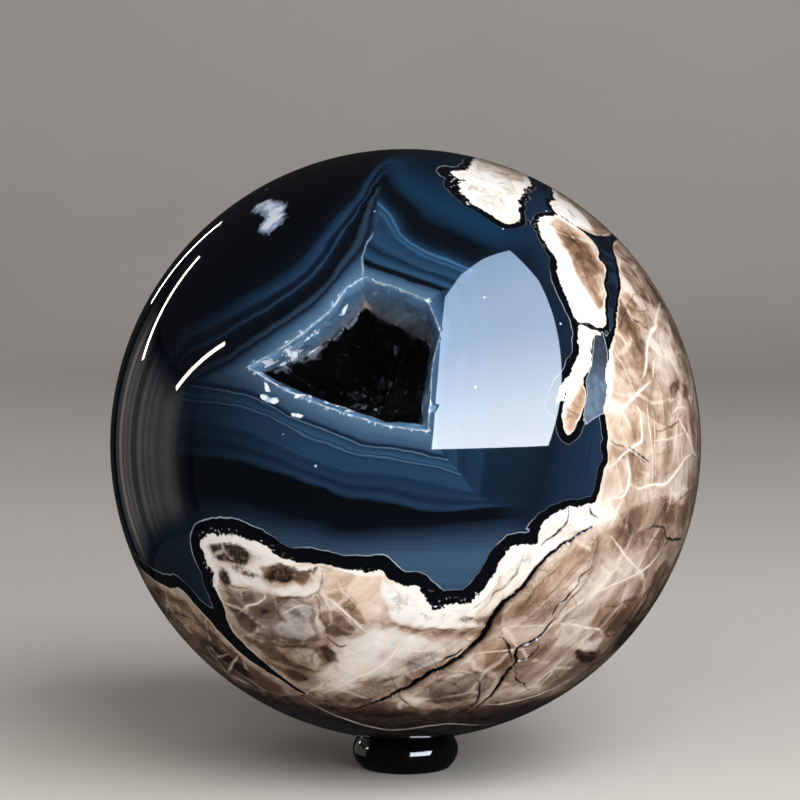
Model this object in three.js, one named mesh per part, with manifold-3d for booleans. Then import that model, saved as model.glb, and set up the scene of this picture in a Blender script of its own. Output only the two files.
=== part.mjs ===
// A polished ball of agate-lined petrified wood on a turned black stone ring.
//
// Frame: millimetres, +Z up. The origin is the centre of the ring's underside.
// The ball's front, with its open cavity, faces -Y; +X is to the right of the front.
// Places on the ball are given as [longitude, latitude] in degrees: longitude 0 is the
// front and grows towards +X, latitude grows upwards from the ball's equator.

import * as THREE from 'three';
import { mergeVertices } from 'three/addons/utils/BufferGeometryUtils.js';
import Module from 'manifold-3d';

// ---------------------------------------------------------------- driving dimensions

const ballRadius = 60;
const ballSegments = 72;          // a multiple of 4, so that the ball reaches +-X and +-Y

const ringHeight = 7;
const ringBoreRadius = 7.9;
const ringFootRadius = 9.5;       // outer edge of the flat underside
const ringBulgeRadius = 10.9;     // widest point of the domed outside
const ringBulgeHeight = 3.2;
const ringLipRadius = 0.9;        // rounding of the top edge that the ball sits on
const ringFootChamfer = 0.4;
const ringSegments = 64;
const domeSteps = 7;              // facets up the domed outside
const lipSteps = 6;               // facets round the lip
const seatGap = 0.15;             // clear space left between the ball and the lip

const cavityFloorDepth = 31;      // deepest point of the cavity, below the polished surface
const cavityCentre = [-10, 21];   // middle of the cavity's mouth
const cutterRise = 3;             // how far the cutting solids stand out of the surface

// The cavity's mouth, clockwise from its left tip. Each corner has its place on the
// polished surface, then the place and depth of the chipped edge inside it.
const cavityCorners = [
  { rim: [-31.5, 19.0], throat: [-29.5, 18.6], depth: 2.5 },
  { rim: [-26.0, 22.0], throat: [-26.5, 20.2], depth: 3.5 },
  { rim: [-20.5, 26.0], throat: [-21.2, 22.8], depth: 4.5 },
  { rim: [-16.0, 30.0], throat: [-15.5, 27.5], depth: 5.0 },
  { rim: [-13.0, 35.0], throat: [-12.2, 31.5], depth: 5.5 },
  { rim: [-9.5, 37.3], throat: [-9.5, 34.0], depth: 6.0 },
  { rim: [-2.0, 35.0], throat: [-2.3, 31.2], depth: 8.0 },
  { rim: [4.8, 32.2], throat: [4.6, 28.0], depth: 8.0 },
  { rim: [6.9, 26.0], throat: [5.4, 25.0], depth: 5.0 },
  { rim: [5.0, 20.0], throat: [4.6, 20.6], depth: 3.5 },
  { rim: [4.5, 14.0], throat: [3.3, 14.8], depth: 3.0 },
  { rim: [4.0, 8.2], throat: [3.0, 9.6], depth: 2.0 },
  { rim: [-3.5, 9.2], throat: [-3.7, 10.2], depth: 2.0 },
  { rim: [-14.0, 12.2], throat: [-14.0, 13.2], depth: 2.0 },
  { rim: [-22.5, 15.0], throat: [-22.6, 16.0], depth: 2.0 },
];

// Below the throat the cavity narrows in two flights: each is a copy of the throat's
// outline, drawn in towards the middle and set deeper.
const cavityFlights = [
  { scale: 0.92, depth: 15 },
  { scale: 0.62, depth: 27 },
];

// Open fissures in the wood, as V-shaped troughs that run out to nothing at both ends.
const fissures = [
  {
    points: [[36, -10.5], [29, -14], [23, -21], [18.3, -26], [16, -32], [9, -39], [0, -45.5], [-16, -53]],
    width: 1.5, depth: 2.4, steps: 26,
  },
  {
    points: [[33, -28.5], [30.2, -32.5], [26, -34.5], [26.3, -39], [25, -46], [22.5, -54]],
    width: 0.9, depth: 1.5, steps: 16,
  },
];

// ---------------------------------------------------------------- helpers

const wasm = await Module();
wasm.setup();

// The unit direction from the ball's centre to a place on its surface.
function direction([longitude, latitude]) {
  const lon = THREE.MathUtils.degToRad(longitude);
  const lat = THREE.MathUtils.degToRad(latitude);
  return new THREE.Vector3(Math.sin(lon) * Math.cos(lat), -Math.cos(lon) * Math.cos(lat), Math.sin(lat));
}

function below(place, depth) {
  return direction(place).multiplyScalar(ballRadius - depth);
}

// A closed mesh as a manifold-3d solid.
function solidOf(geometry) {
  const bare = geometry.clone();
  bare.deleteAttribute('normal');
  bare.deleteAttribute('uv');
  const merged = mergeVertices(bare, 1e-4);
  return new wasm.Manifold(new wasm.Mesh({
    numProp: 3,
    vertProperties: new Float32Array(merged.attributes.position.array),
    triVerts: new Uint32Array(merged.index.array),
  }));
}

function geometryOf(solid) {
  const { vertProperties, triVerts } = solid.getMesh();
  const geometry = new THREE.BufferGeometry();
  geometry.setAttribute('position', new THREE.BufferAttribute(new Float32Array(vertProperties), 3));
  geometry.setIndex(new THREE.BufferAttribute(new Uint32Array(triVerts), 1));
  return geometry;
}

// A closed skin over loops of equal length, from a tip outside the ball to a tip inside it.
// Seen from outside the ball, the loops run clockwise.
function skinOver(outerTip, loops, innerTip) {
  const count = loops[0].length;
  const points = [outerTip, ...loops.flat(), innerTip];
  const last = points.length - 1;
  const faces = [];
  const at = (loop, corner) => 1 + loop * count + (corner % count);
  for (let corner = 0; corner < count; corner += 1) {
    faces.push(0, at(0, corner + 1), at(0, corner));
    for (let loop = 0; loop + 1 < loops.length; loop += 1) {
      faces.push(at(loop, corner), at(loop, corner + 1), at(loop + 1, corner + 1));
      faces.push(at(loop, corner), at(loop + 1, corner + 1), at(loop + 1, corner));
    }
    faces.push(last, at(loops.length - 1, corner), at(loops.length - 1, corner + 1));
  }
  const geometry = new THREE.BufferGeometry().setFromPoints(points);
  geometry.setIndex(faces);
  return geometry;
}

// ---------------------------------------------------------------- the cavity

function cavityCutter() {
  const mouth = cavityCorners.map(({ rim }) => below(rim, -cutterRise));
  const rim = cavityCorners.map((corner) => below(corner.rim, 0));
  const throat = cavityCorners.map((corner) => below(corner.throat, corner.depth));
  const flights = cavityFlights.map(({ scale, depth }) => cavityCorners.map((corner) => {
    const place = cavityCentre.map((middle, i) => middle + scale * (corner.throat[i] - middle));
    return below(place, depth);
  }));
  return skinOver(
    below(cavityCentre, -2 * cutterRise),
    [mouth, rim, throat, ...flights],
    below(cavityCentre, cavityFloorDepth),
  );
}

// ---------------------------------------------------------------- the fissures

// A trough's sections are triangles, wide at the surface and sharp at the bottom.
function fissureCutter({ points, width, depth, steps }) {
  const route = new THREE.CatmullRomCurve3(points.map(direction), false, 'centripetal');
  const spread = (depth + 1) / depth;       // the V goes on widening 1 mm past the surface
  const sections = [];
  for (let step = 1; step < steps; step += 1) {
    const along = step / steps;
    const outward = route.getPointAt(along).normalize();
    const side = route.getTangentAt(along).cross(outward).normalize();
    const swell = Math.min(1, 5 * Math.min(along, 1 - along));
    const half = side.multiplyScalar(0.5 * width * spread * swell);
    const top = outward.clone().multiplyScalar(ballRadius + 1);
    const bottom = outward.clone().multiplyScalar(ballRadius + 1 - (depth + 1) * swell);
    sections.push([top.clone().add(half), bottom, top.clone().sub(half)]);
  }
  const ends = [0, 1].map((along) => route.getPointAt(along).normalize().multiplyScalar(ballRadius + 1));
  return skinOver(ends[0], sections, ends[1]);
}

// ---------------------------------------------------------------- the two pieces

function ballGeometry() {
  const round = new THREE.SphereGeometry(ballRadius, ballSegments, ballSegments / 2);
  round.rotateX(Math.PI / 2);
  let solid = solidOf(round).subtract(solidOf(cavityCutter()));
  for (const fissure of fissures) solid = solid.subtract(solidOf(fissureCutter(fissure)));
  return geometryOf(solid);
}

// The ring's section: flat underside, domed outside, rounded lip, straight bore.
function ringProfile() {
  const lipCentre = new THREE.Vector2(ringBoreRadius + ringLipRadius, ringHeight - ringLipRadius);
  const lipOuter = lipCentre.x + ringLipRadius;
  const dome = new THREE.SplineCurve([
    new THREE.Vector2(ringFootRadius, 0),
    new THREE.Vector2(ringBulgeRadius, ringBulgeHeight),
    new THREE.Vector2(lipOuter, lipCentre.y),
  ]).getPoints(domeSteps);
  const lip = Array.from({ length: lipSteps }, (_, i) => {
    const angle = Math.PI * (i + 1) / lipSteps;
    return new THREE.Vector2(Math.cos(angle), Math.sin(angle)).multiplyScalar(ringLipRadius).add(lipCentre);
  });
  const bore = [
    new THREE.Vector2(ringBoreRadius, ringFootChamfer),
    new THREE.Vector2(ringBoreRadius + ringFootChamfer, 0),
  ];
  return [...dome, ...lip, ...bore, dome[0].clone()];
}

function ringGeometry() {
  const turned = new THREE.LatheGeometry(ringProfile(), ringSegments);
  turned.rotateX(Math.PI / 2);
  return geometryOf(solidOf(turned));
}

// The height at which the ball just clears the ring's lip by the seat gap.
function ballCentreHeight() {
  const reach = ballRadius + ringLipRadius + seatGap;
  return ringHeight - ringLipRadius + Math.sqrt(reach ** 2 - (ringBoreRadius + ringLipRadius) ** 2);
}

const petrifiedWood = new THREE.MeshStandardMaterial({ color: 0x6b5f58, roughness: 0.12, metalness: 0 });
const blackStone = new THREE.MeshStandardMaterial({ color: 0x07090d, roughness: 0.1, metalness: 0 });

const ball = new THREE.Mesh(ballGeometry(), petrifiedWood);
ball.name = 'petrified_wood_ball';
ball.position.z = ballCentreHeight();

const ring = new THREE.Mesh(ringGeometry(), blackStone);
ring.name = 'ring_stand';

const decorativeSphere = new THREE.Group();
decorativeSphere.add(ball, ring);

export default decorativeSphere;
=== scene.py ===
# %% [markdown]
# # A ball of agate and petrified wood on a black stone ring
# This notebook dresses a finished CAD model in Blender. The CAD model has two pieces: a
# polished stone ball with an open cavity, and the small ring that it sits on. Both stay
# where they are. What we add is the fine surface: the chipped edge of the cavity, the
# cracks in the wood, and the colours that run through the stone.

import random
from math import asin, atan, atan2, cos, degrees, pi, radians, sin

import bmesh
import bpy
import numpy as np
from mathutils import Matrix, Vector, kdtree, noise


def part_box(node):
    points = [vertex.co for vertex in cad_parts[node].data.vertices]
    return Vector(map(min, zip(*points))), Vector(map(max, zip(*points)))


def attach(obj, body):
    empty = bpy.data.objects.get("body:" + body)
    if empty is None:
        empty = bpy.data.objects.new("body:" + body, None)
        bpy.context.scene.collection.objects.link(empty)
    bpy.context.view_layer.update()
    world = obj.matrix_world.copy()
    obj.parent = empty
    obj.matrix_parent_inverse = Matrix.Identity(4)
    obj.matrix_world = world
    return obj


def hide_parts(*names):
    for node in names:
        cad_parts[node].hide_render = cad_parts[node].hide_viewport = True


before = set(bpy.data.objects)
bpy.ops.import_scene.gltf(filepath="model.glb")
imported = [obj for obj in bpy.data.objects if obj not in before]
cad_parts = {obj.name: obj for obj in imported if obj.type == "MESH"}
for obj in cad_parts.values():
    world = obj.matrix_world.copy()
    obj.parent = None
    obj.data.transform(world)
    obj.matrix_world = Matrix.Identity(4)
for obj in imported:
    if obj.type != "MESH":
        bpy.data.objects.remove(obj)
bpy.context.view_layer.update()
scene = bpy.context.scene
noise.seed_set(5)
print("CAD nodes:", sorted(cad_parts))

# %% [markdown]
# ## Places on a ball
# A ball has no edges to measure from, so we give places as a mapmaker does, by longitude
# and latitude in degrees. Longitude 0 is the front of the ball and grows to the right,
# and latitude grows upwards from the equator. On a ball of 60 mm, one degree is about a
# millimetre, which makes the numbers easy to picture.

# %% The ball's centre and radius, and directions on it
MM = 0.001
low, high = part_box("petrified_wood_ball")
CENTRE = (low + high) / 2
RADIUS = (high.x - low.x) / 2


def toward(lon, lat):
    """The unit direction from the ball's centre to a place on its surface."""
    lon, lat = radians(lon), radians(lat)
    return Vector((sin(lon) * cos(lat), -cos(lon) * cos(lat), sin(lat)))


def directions(places):
    """The same for a list of places, as the rows of one array."""
    return np.array([toward(*place) for place in places])


print(f"ball: radius {RADIUS / MM:.1f} mm, centre {CENTRE.z / MM:.1f} mm up")

# %% [markdown]
# ## The stone's drawing
# Petrified wood with agate is a map with two lands. We draw the coast of the agate once,
# as a closed line of places, and four islands of wood inside it. Everything else is
# worked out from the distance to these lines: the black layer that always follows the
# wood, the fine pale line outside it, and the bleached edge of the wood itself.

# %% The coast between agate and wood
AGATE = [
    (-29, -48.5), (-31, -46), (-33.5, -43), (-37, -38.7), (-39.3, -35.5), (-40.6, -33), (-41, -30),
    (-40.2, -27), (-41, -22.5), (-40, -19.5), (-41.3, -17.5), (-42, -14.5), (-41, -12.8), (-38, -11.8),
    (-35, -11.4), (-32, -11.6), (-29.5, -12.5), (-27, -13.1), (-25, -14.7), (-21, -15.8), (-15, -16.2),
    (-11, -16.9), (-7, -17.3), (-4.5, -17), (-3, -18.8), (-0.5, -19.9), (2, -20.2), (3.5, -21.8),
    (4.6, -24), (6, -25), (8, -24.2), (11, -24), (12.7, -23.4), (15, -21), (17, -17.5), (18.4, -14.5),
    (19.5, -13), (22, -12.6), (24.8, -12.4), (25.2, -9), (27, -7.5), (31, -6.3), (34, -6), (36.5, -5.6),
    (37.6, -3.4), (38.4, -1.3), (38.4, 0), (39.6, 1.6), (39.3, 4), (39.8, 5.5), (39.4, 9), (39.6, 12),
    (41, 15), (40.8, 16.6), (42, 18.6), (44, 21.6), (45.4, 23.4), (47, 24.8), (49.3, 27.3), (51.4, 29.5),
    (53.4, 31.6), (55.8, 33), (58.6, 35.4), (61, 37.6), (63.8, 39.8), (67.9, 42.6), (72, 43.6), (80, 44.3),
    (92, 42), (105, 38), (118, 41), (132, 37), (148, 29), (163, 25), (178, 17), (-166, 9), (-152, -1),
    (-137, -9), (-122, -17), (-106, -20), (-94, -22), (-80, -22.8), (-72, -22.6), (-66, -23.6),
    (-58, -24.8), (-53, -24.2), (-50, -27.2), (-47, -31), (-44.5, -35), (-41.6, -39), (-38, -42),
    (-34, -45.2), (-31, -48.4),
]
INSIDE_AGATE = (-55, 20)

# %% The islands of wood in the agate
ISLANDS = {
    "upper": [
        (23, 67.4), (25, 68.6), (33, 68.8), (38, 70.3), (45, 72), (55, 74.3), (70, 76), (88, 77),
        (104, 75), (110, 71), (100, 67.8), (85, 65.8), (70, 64), (62, 62.2), (55, 61), (50, 60.2),
        (47, 58.2), (42, 57), (40.5, 55), (38, 53.2), (35.5, 51), (33, 50.2), (30, 49.8), (28, 51.2),
        (24.5, 54), (22, 56), (21.5, 58.5), (21.3, 60.6), (23, 63.6), (26, 64.1), (23.5, 65),
    ],
    "right": [
        (40, 48.4), (43, 51), (46, 51.8), (50, 51.6), (53, 52), (56, 49.6), (58.5, 46.5), (58.7, 44),
        (57.5, 42), (55.5, 40.5), (55, 38), (51, 35), (49.8, 33), (48, 31), (46.4, 28), (45, 26.4),
        (43, 25.8), (40.8, 27.2), (38.5, 27.4), (37.3, 28.4), (37, 34), (37.6, 38), (39.3, 40.6),
        (39.3, 43.5),
    ],
    "tongue": [
        (37.6, 27), (36.8, 24.5), (35.4, 21), (33, 18.5), (31, 16.6), (29.6, 15.2), (28.3, 12),
        (30, 13.3), (31.4, 14.8), (29.6, 11.4), (29.7, 8.4), (30.5, 6.7), (32, 7.6), (33.6, 10),
        (35.4, 13.6), (35.2, 16.3), (37.6, 18.6), (39.4, 22), (40.8, 24.6), (43, 24.4), (41.8, 25.6),
        (40, 26.2),
    ],
    "far right": [
        (53.6, 52.3), (56, 55), (58, 56.2), (62, 56.2), (66, 57.7), (75, 59.5), (90, 61), (106, 58),
        (112, 52), (100, 47.5), (85, 46.2), (72, 45.6), (62, 46.4), (58.5, 48.5), (56, 50.6),
    ],
}

# %% Open cracks, and the fine dark lines that are only as deep as the colour
CRACKS = [  # widths in mm along the crack, places
    ((0.5, 0.8, 1.0, 1.5, 1.4, 1.1, 0.7, 0.4), [(36, -10.4), (33, -11.8), (29, -14), (26, -17), (23, -21),
        (20, -24), (18.3, -26), (17.5, -29), (16, -32), (13, -36), (9, -39), (5, -41.3), (0, -45.3),
        (-5, -48.4), (-10, -50.6), (-16, -53.2), (-22, -54)]),
    ((0.3, 0.8, 0.6, 0.9, 0.6, 0.3), [(32.4, -28.6), (31, -31), (29.7, -33.2), (27.5, -34.3), (25.9, -34.6),
        (25.7, -36.5), (26.8, -38.3), (26, -41), (25.4, -43.6), (24.8, -47), (23.6, -51), (22.3, -55)]),
    ((0.3, 0.6, 0.3), [(31.2, -35), (29.7, -37.8), (27, -38.4)]),
    ((0.2, 0.5, 0.3), [(36, -21.2), (34, -24), (32.4, -25.8), (31.6, -27.6)]),
    ((0.2, 0.4, 0.2), [(38.2, -18.4), (36, -20), (36, -21.2)]),
    ((0.2, 0.5, 0.3), [(31, -6.4), (30.4, -9.4), (27.8, -11.4), (25.6, -12.9)]),
    ((0.2, 0.4, 0.2), [(35, -6.2), (36.2, -7.8), (38, -8.4)]),
    ((0.2, 0.45, 0.2), [(20, -31.6), (22.4, -33.4), (24, -36), (25.6, -38.6)]),
    ((0.2, 0.35, 0.2), [(27, -39.8), (29.4, -43.4), (33.4, -46), (37.5, -48.4)]),
    ((0.2, 0.5, 0.3), [(18.2, -43), (20, -46), (21.2, -50), (20.4, -54.6)]),
    ((0.2, 0.4, 0.5, 0.3), [(50, -12.6), (54, -12), (59, -12.7), (61.2, -14.9), (66, -15.8), (76, -17)]),
    ((0.2, 0.35, 0.2), [(45, 3.6), (48, 2.4), (51.5, 0.4)]),
    ((0.2, 0.35, 0.2), [(53.5, 28.3), (57, 26.5), (60, 25)]),
    ((0.2, 0.5, 0.3), [(7.3, -37.8), (10, -36.3), (12.6, -34.5)]),
    ((0.2, 0.35, 0.2), [(-16.6, -31.4), (-15, -33.7), (-13, -33.4)]),
    ((0.2, 0.35, 0.2), [(-1.5, -47.6), (0.6, -50.4), (3, -52.4)]),
    ((0.3, 0.5, 0.3), [(37.5, 27.6), (40, 26.6), (41.6, 26.2)]),
]

# %% Pale veins of quartz in the wood
VEINS = [  # width in mm, places
    (0.9, [(39.6, 10.4), (43, 11), (46, 11.6), (50, 13.6), (55, 15.4)]),
    (1.0, [(51.5, 15.6), (53.8, 17.6), (56, 21), (59, 23.4), (64, 25.3), (68, 27.6), (76, 29.6)]),
    (0.6, [(55.6, 15.6), (57, 18), (59, 19.4)]),
    (0.7, [(47, 11.4), (48.8, 10.4), (49.2, 7.6), (48.8, 4.8), (46.6, 3.8), (43.4, 2.4), (39.6, 0.2)]),
    (0.9, [(44.5, 2.6), (44.8, -0.4), (45, -3.2), (43.6, -5), (41, -5.4)]),
    (0.9, [(45.4, -3.2), (48, -4), (52, -3.8), (57, -4.1), (61, -2.4), (66, -0.4), (72, 0.6)]),
    (0.8, [(62.4, 8.4), (65, 6), (68.4, 3.4), (71.4, 0.6), (76, -1)]),
    (0.6, [(61, 8.9), (65, 9.4), (69, 9)]),
    (0.6, [(43.4, -5.6), (42, -8.6), (40.6, -11.4)]),
    (0.5, [(40.8, -12.2), (43, -13.6), (46.4, -16.2), (50, -18.6), (55, -21.4), (59.6, -24.4)]),
    (0.6, [(61.4, -15.4), (59.8, -18), (56, -20.4), (50, -21.8), (45, -22.8), (41, -24.2), (38.4, -28)]),
    (0.6, [(33.4, -29.6), (38, -30.4), (44, -32), (48, -32.8), (51.6, -34.8)]),
    (0.4, [(14, -35.6), (22, -35.4), (32, -35)]),
    (0.9, [(-1, -31.4), (-1.8, -34), (-4, -37), (-8, -40.2), (-12.4, -42.2), (-16.4, -44.6), (-23, -47.6)]),
    (0.6, [(-14.6, -34.2), (-10.4, -35.9), (-6.6, -37.7)]),
    (0.7, [(-16.4, -22), (-13.4, -24.4), (-10.6, -27.4), (-8, -30)]),
    (0.4, [(-17.2, -25.2), (-18.4, -28.4), (-16.6, -29.8)]),
    (0.5, [(-36.8, -27.8), (-34, -26), (-30.4, -24.8), (-28.6, -23.2), (-31.2, -20.6)]),
    (0.5, [(-1, -33.2), (1.6, -34.4), (5, -34.6)]),
    (0.5, [(-26, -27), (-22.6, -25.4), (-20, -24.6), (-18, -25.4)]),
    (0.5, [(-58, -46.6), (-51, -43), (-45.6, -40), (-43, -38.2)]),
    (0.4, [(-55, -41.2), (-51, -40), (-47.6, -39)]),
    (0.6, [(-31, -50.6), (-27.4, -54.6), (-22, -58.4), (-15, -61.6), (-7, -63.6), (1, -62.8), (9, -61.2),
           (16, -60.4), (26, -62), (42, -64)]),
    (0.6, [(24, -52.2), (35, -52.3), (44, -50.8), (51, -48.2), (57, -44)]),
    (0.4, [(52, 14), (51.6, 8), (52.2, 0), (51.8, -8)]),
    (0.3, [(53.6, 12), (53, 4), (53.3, -6)]),
    (0.4, [(52.6, 4.2), (60, 4.2), (67, 4.7)]),
    (0.35, [(18.4, -29.8), (26, -29.6), (34, -30.4)]),
    (0.3, [(-15.4, -22), (-11.6, -20.6), (-8, -19.8)]),
    (0.3, [(-13.4, -18.4), (-12, -21.4), (-12.6, -23.4)]),
    (0.3, [(-9.6, -18.6), (-8.4, -21.6)]),
    (0.35, [(44.8, 22.4), (47, 17.6), (48.6, 12)]),
    (0.3, [(56.4, 15.6), (57.2, 11), (56.8, 6.6)]),
]

# %% Thin brown seams
SEAMS = [  # width in mm, places
    (0.5, [(-30.4, -22.4), (-27, -23.1), (-22, -23.2), (-18, -22.4), (-16, -20.4), (-15.8, -17.4)]),
    (0.4, [(-17.6, -22.8), (-17.3, -26), (-16.6, -29.4), (-14.6, -32.2)]),
    (0.35, [(-37.6, -33), (-31, -33.2), (-24, -33.6), (-18, -33.4)]),
    (0.45, [(-3.4, -27.2), (-0.6, -28.8), (5, -29.6), (11, -29.7), (17, -29.4)]),
    (0.35, [(12.6, -17.8), (15.4, -21), (13, -25.4)]),
    (0.4, [(22.6, -14.4), (20.8, -18.4), (17.6, -22.6), (14.4, -26.4)]),
    (0.35, [(31.6, -15.4), (28, -19.4), (24.6, -24), (22.4, -28.4)]),
    (0.35, [(34.6, -16.6), (30.6, -21.4), (27, -26)]),
    (0.35, [(38.4, -20), (35, -24.4), (32.8, -29)]),
    (0.4, [(52.4, 6.3), (58, 6.1), (63, 7.2), (67, 8.4)]),
    (0.4, [(44.4, -27.2), (50, -27.6), (56, -27), (61.4, -26.8)]),
    (0.5, [(52.7, -27.6), (52.9, -31), (52.8, -34.8), (58, -35.2), (64, -34)]),
    (0.4, [(56.6, -7.8), (62, -8.6), (68, -7.2), (75, -6.4)]),
    (0.35, [(39, 5.6), (43.4, 3.6), (47.6, 1.8), (51.8, 0)]),
    (0.35, [(3, -43.6), (9, -43), (13.4, -44.8), (17, -48.6)]),
    (0.35, [(-38.6, -20.8), (-34.6, -22), (-30.8, -21.8)]),
    (0.3, [(-6, -44.4), (-1, -47.4), (2.6, -51.6)]),
    (0.35, [(46.6, 24.4), (52, 27.6), (58, 31), (66, 33)]),
    (0.35, [(45.6, 45), (49.6, 43.4), (52, 45.6), (55.4, 43.6)]),
    (0.35, [(47.4, 32.6), (48, 37), (47, 41.4)]),
    (0.5, [(-78, -33), (-66, -31.4), (-56, -31), (-50, -34.4), (-45, -40)]),
    (0.5, [(-76, -41), (-62, -45), (-50, -50.4), (-38, -54)]),
]
print(len(AGATE), "coast points,", len(ISLANDS), "islands,", len(CRACKS), "cracks,", len(VEINS), "veins")

# %% [markdown]
# ## From places to lines
# A few given places are joined by a smooth curve that passes through all of them
# (a Catmull-Rom curve), which is pushed back onto the ball at every step. A little
# wander from Blender's noise keeps the lines from looking ruled. Each line then becomes
# a row of close points. A KD-tree finds the nearest one for any place on the ball.

# %% Smooth lines over the ball
STEP = 0.25 * MM
WANDER_SCALE = 450  # wanders in a metre of line


def on_ball(points):
    """Points pushed in or out until they lie on the ball."""
    points = np.array(points)
    return points / np.linalg.norm(points, axis=1)[:, None] * RADIUS


def smooth_line(places, closed=False, wander=0.0):
    """Points every quarter of a millimetre, in metres from the ball's centre."""
    rows = directions(places) * RADIUS
    count = len(rows) if closed else len(rows) - 1
    points = []
    for i in range(count):
        if closed:
            a, b, c, d = (rows[(i + k) % len(rows)] for k in (-1, 0, 1, 2))
        else:
            b, c = rows[i], rows[i + 1]
            a = rows[i - 1] if i else 2 * b - c
            d = rows[i + 2] if i + 2 < len(rows) else 2 * c - b
        steps = max(2, int(np.linalg.norm(c - b) / STEP))
        for t in np.arange(steps) / steps:
            points.append(0.5 * (2 * b + (c - a) * t + (2 * a - 5 * b + 4 * c - d) * t**2
                                 + (3 * b - a - 3 * c + d) * t**3))
    if not closed:
        points.append(rows[-1])
    if wander:
        points = [Vector(p) + wander * noise.noise_vector(Vector(p) * WANDER_SCALE) for p in points]
    return on_ball(points)


class Drawing:
    """Lines on the ball that can say how far away they are."""

    def __init__(self):
        self.points, self.tangents, self.widths = [], [], []

    def add(self, points, closed=False, width=1.0):
        """Keeps a line. Its width is one number, or several along its length."""
        if closed:
            tangents = np.roll(points, -1, axis=0) - np.roll(points, 1, axis=0)
        else:
            tangents = np.gradient(points, axis=0)
        given = np.atleast_1d(width)
        shares = np.linspace(0, 1, len(points))
        self.points += list(points)
        self.tangents += list(tangents)
        self.widths += list(np.interp(shares, np.linspace(0, 1, len(given)), given))

    def tree(self):
        found = kdtree.KDTree(len(self.points))
        for i, p in enumerate(self.points):
            found.insert(p, i)
        found.balance()
        return found

    def measure(self, places):
        """For each place: how far the nearest line is, on which side of it the place
        lies (+1 is left), and how wide the line is there."""
        tree = self.tree()
        found = [tree.find(place)[1:] for place in places]
        index = np.array([f[0] for f in found])
        distance = np.array([f[1] for f in found])
        points = np.array(self.points)[index]
        leftwards = np.cross(points, np.array(self.tangents)[index])
        side = np.where((leftwards * (np.array(places) - points)).sum(axis=1) > 0, 1.0, -1.0)
        return distance, side, np.array(self.widths)[index]


# %% Draw the coast, the islands, the cracks, the veins and the seams
COAST_WANDER, CRACK_WANDER, VEIN_WANDER, SEAM_WANDER = 0.35 * MM, 0.5 * MM, 0.3 * MM, 0.7 * MM
TAPER = np.array((0.3, 1, 1, 0.8, 0.3))  # how wide a vein is along its length

coast = Drawing()
for name, places in [("coast", AGATE), *ISLANDS.items()]:
    points = smooth_line(places, closed=True, wander=COAST_WANDER)
    is_coast = name == "coast"
    middle = np.array(toward(*INSIDE_AGATE)) * RADIUS if is_coast else points.mean(axis=0)
    around = np.cross(points, np.roll(points, -1, axis=0)).sum(axis=0)
    turns_left = np.dot(around, middle) > 0
    # The wood lies left of every line: inside an island and outside the coast.
    coast.add(points[::-1] if turns_left == is_coast else points, closed=True)
print(len(coast.points), "points along the coast and the islands")

cracks, veins, seams = Drawing(), Drawing(), Drawing()
for widths, places in CRACKS:
    cracks.add(smooth_line(places, wander=CRACK_WANDER), width=np.array(widths) * MM)
for drawing, lines, wander in ((veins, VEINS, VEIN_WANDER), (seams, SEAMS, SEAM_WANDER)):
    for width, places in lines:
        drawing.add(smooth_line(places, wander=wander), width=TAPER * width * MM)
print(len(cracks.points), "points along the cracks,", len(veins.points), "along the veins,",
      len(seams.points), "along the seams")

# %% [markdown]
# ## The cavity
# Agate grows inwards from the walls of a hollow, and where it never met in the middle an
# open cavity stays. Grinding the ball cut this one open. Its mouth is a rough kite with a
# narrow bevelled band of broken stone, and below that it drops to a dark pit. We give its
# corners twice, once at the skin and once at the throat, each throat corner with its own
# depth. The three flights below the throat close in on one point.

# %% The cavity's corners: rim place, throat place, throat depth in mm
CAVITY = [
    ((-31.5, 19), (-29.5, 18.6), 2.5), ((-26, 22), (-26.5, 20.2), 3.5),
    ((-20.5, 26), (-21.2, 22.8), 4.5), ((-16, 30), (-15.5, 27.5), 5), ((-13, 35), (-12.2, 31.5), 5.5),
    ((-9.5, 37.3), (-9.5, 34), 6), ((-2, 35), (-2.3, 31.2), 8), ((4.8, 32.2), (4.6, 28), 8),
    ((6.9, 26), (5.4, 25), 5), ((5, 20), (4.6, 20.6), 3.5), ((4.5, 14), (3.3, 14.8), 3),
    ((4, 8.2), (3, 9.6), 2), ((-3.5, 9.2), (-3.7, 10.2), 2), ((-14, 12.2), (-14, 13.2), 2),
    ((-22.5, 15), (-22.6, 16), 2),
]
MIDDLE = (-10, 21)
FLIGHTS = [(0.92, 15), (0.62, 27), (0.05, 31)]  # share of the throat's width, depth in mm


def towards_middle(place, share):
    return tuple(m + share * (p - m) for p, m in zip(place, MIDDLE))


def straight_line(places):
    """A closed line with sharp corners, as points every quarter of a millimetre."""
    rows = directions(places) * RADIUS
    points = []
    for a, b in zip(rows, np.roll(rows, -1, axis=0)):
        steps = int(np.linalg.norm(b - a) / STEP) + 1
        points += [a + (b - a) * t for t in np.arange(steps) / steps]
    return on_ball(points)


rim, throat_line = Drawing(), Drawing()
rim.add(straight_line([corner[0] for corner in CAVITY]), closed=True)
throat_line.add(straight_line([corner[1] for corner in CAVITY]), closed=True)
print(f"the cavity's rim is {len(rim.points) * STEP / MM:.0f} mm long")

# %% [markdown]
# ## A ball with detail only where it is needed
# A UV sphere crowds its faces at the poles, so we start from an icosphere, whose
# triangles are all nearly the same size. Three times over, the edges near a drawn line
# are cut in two and the new corners are lifted back onto the ball. The plain areas stay
# at two millimetres, while a crack gets triangles of a quarter of a millimetre.

# %% The polished ball
FLAKED, FLAKED_REACH = toward(-24, 14) * RADIUS, 6.5 * MM  # pale flakes below the cavity
FRONT = 0.3 * RADIUS  # wood in front of this gets small triangles all over

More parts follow.
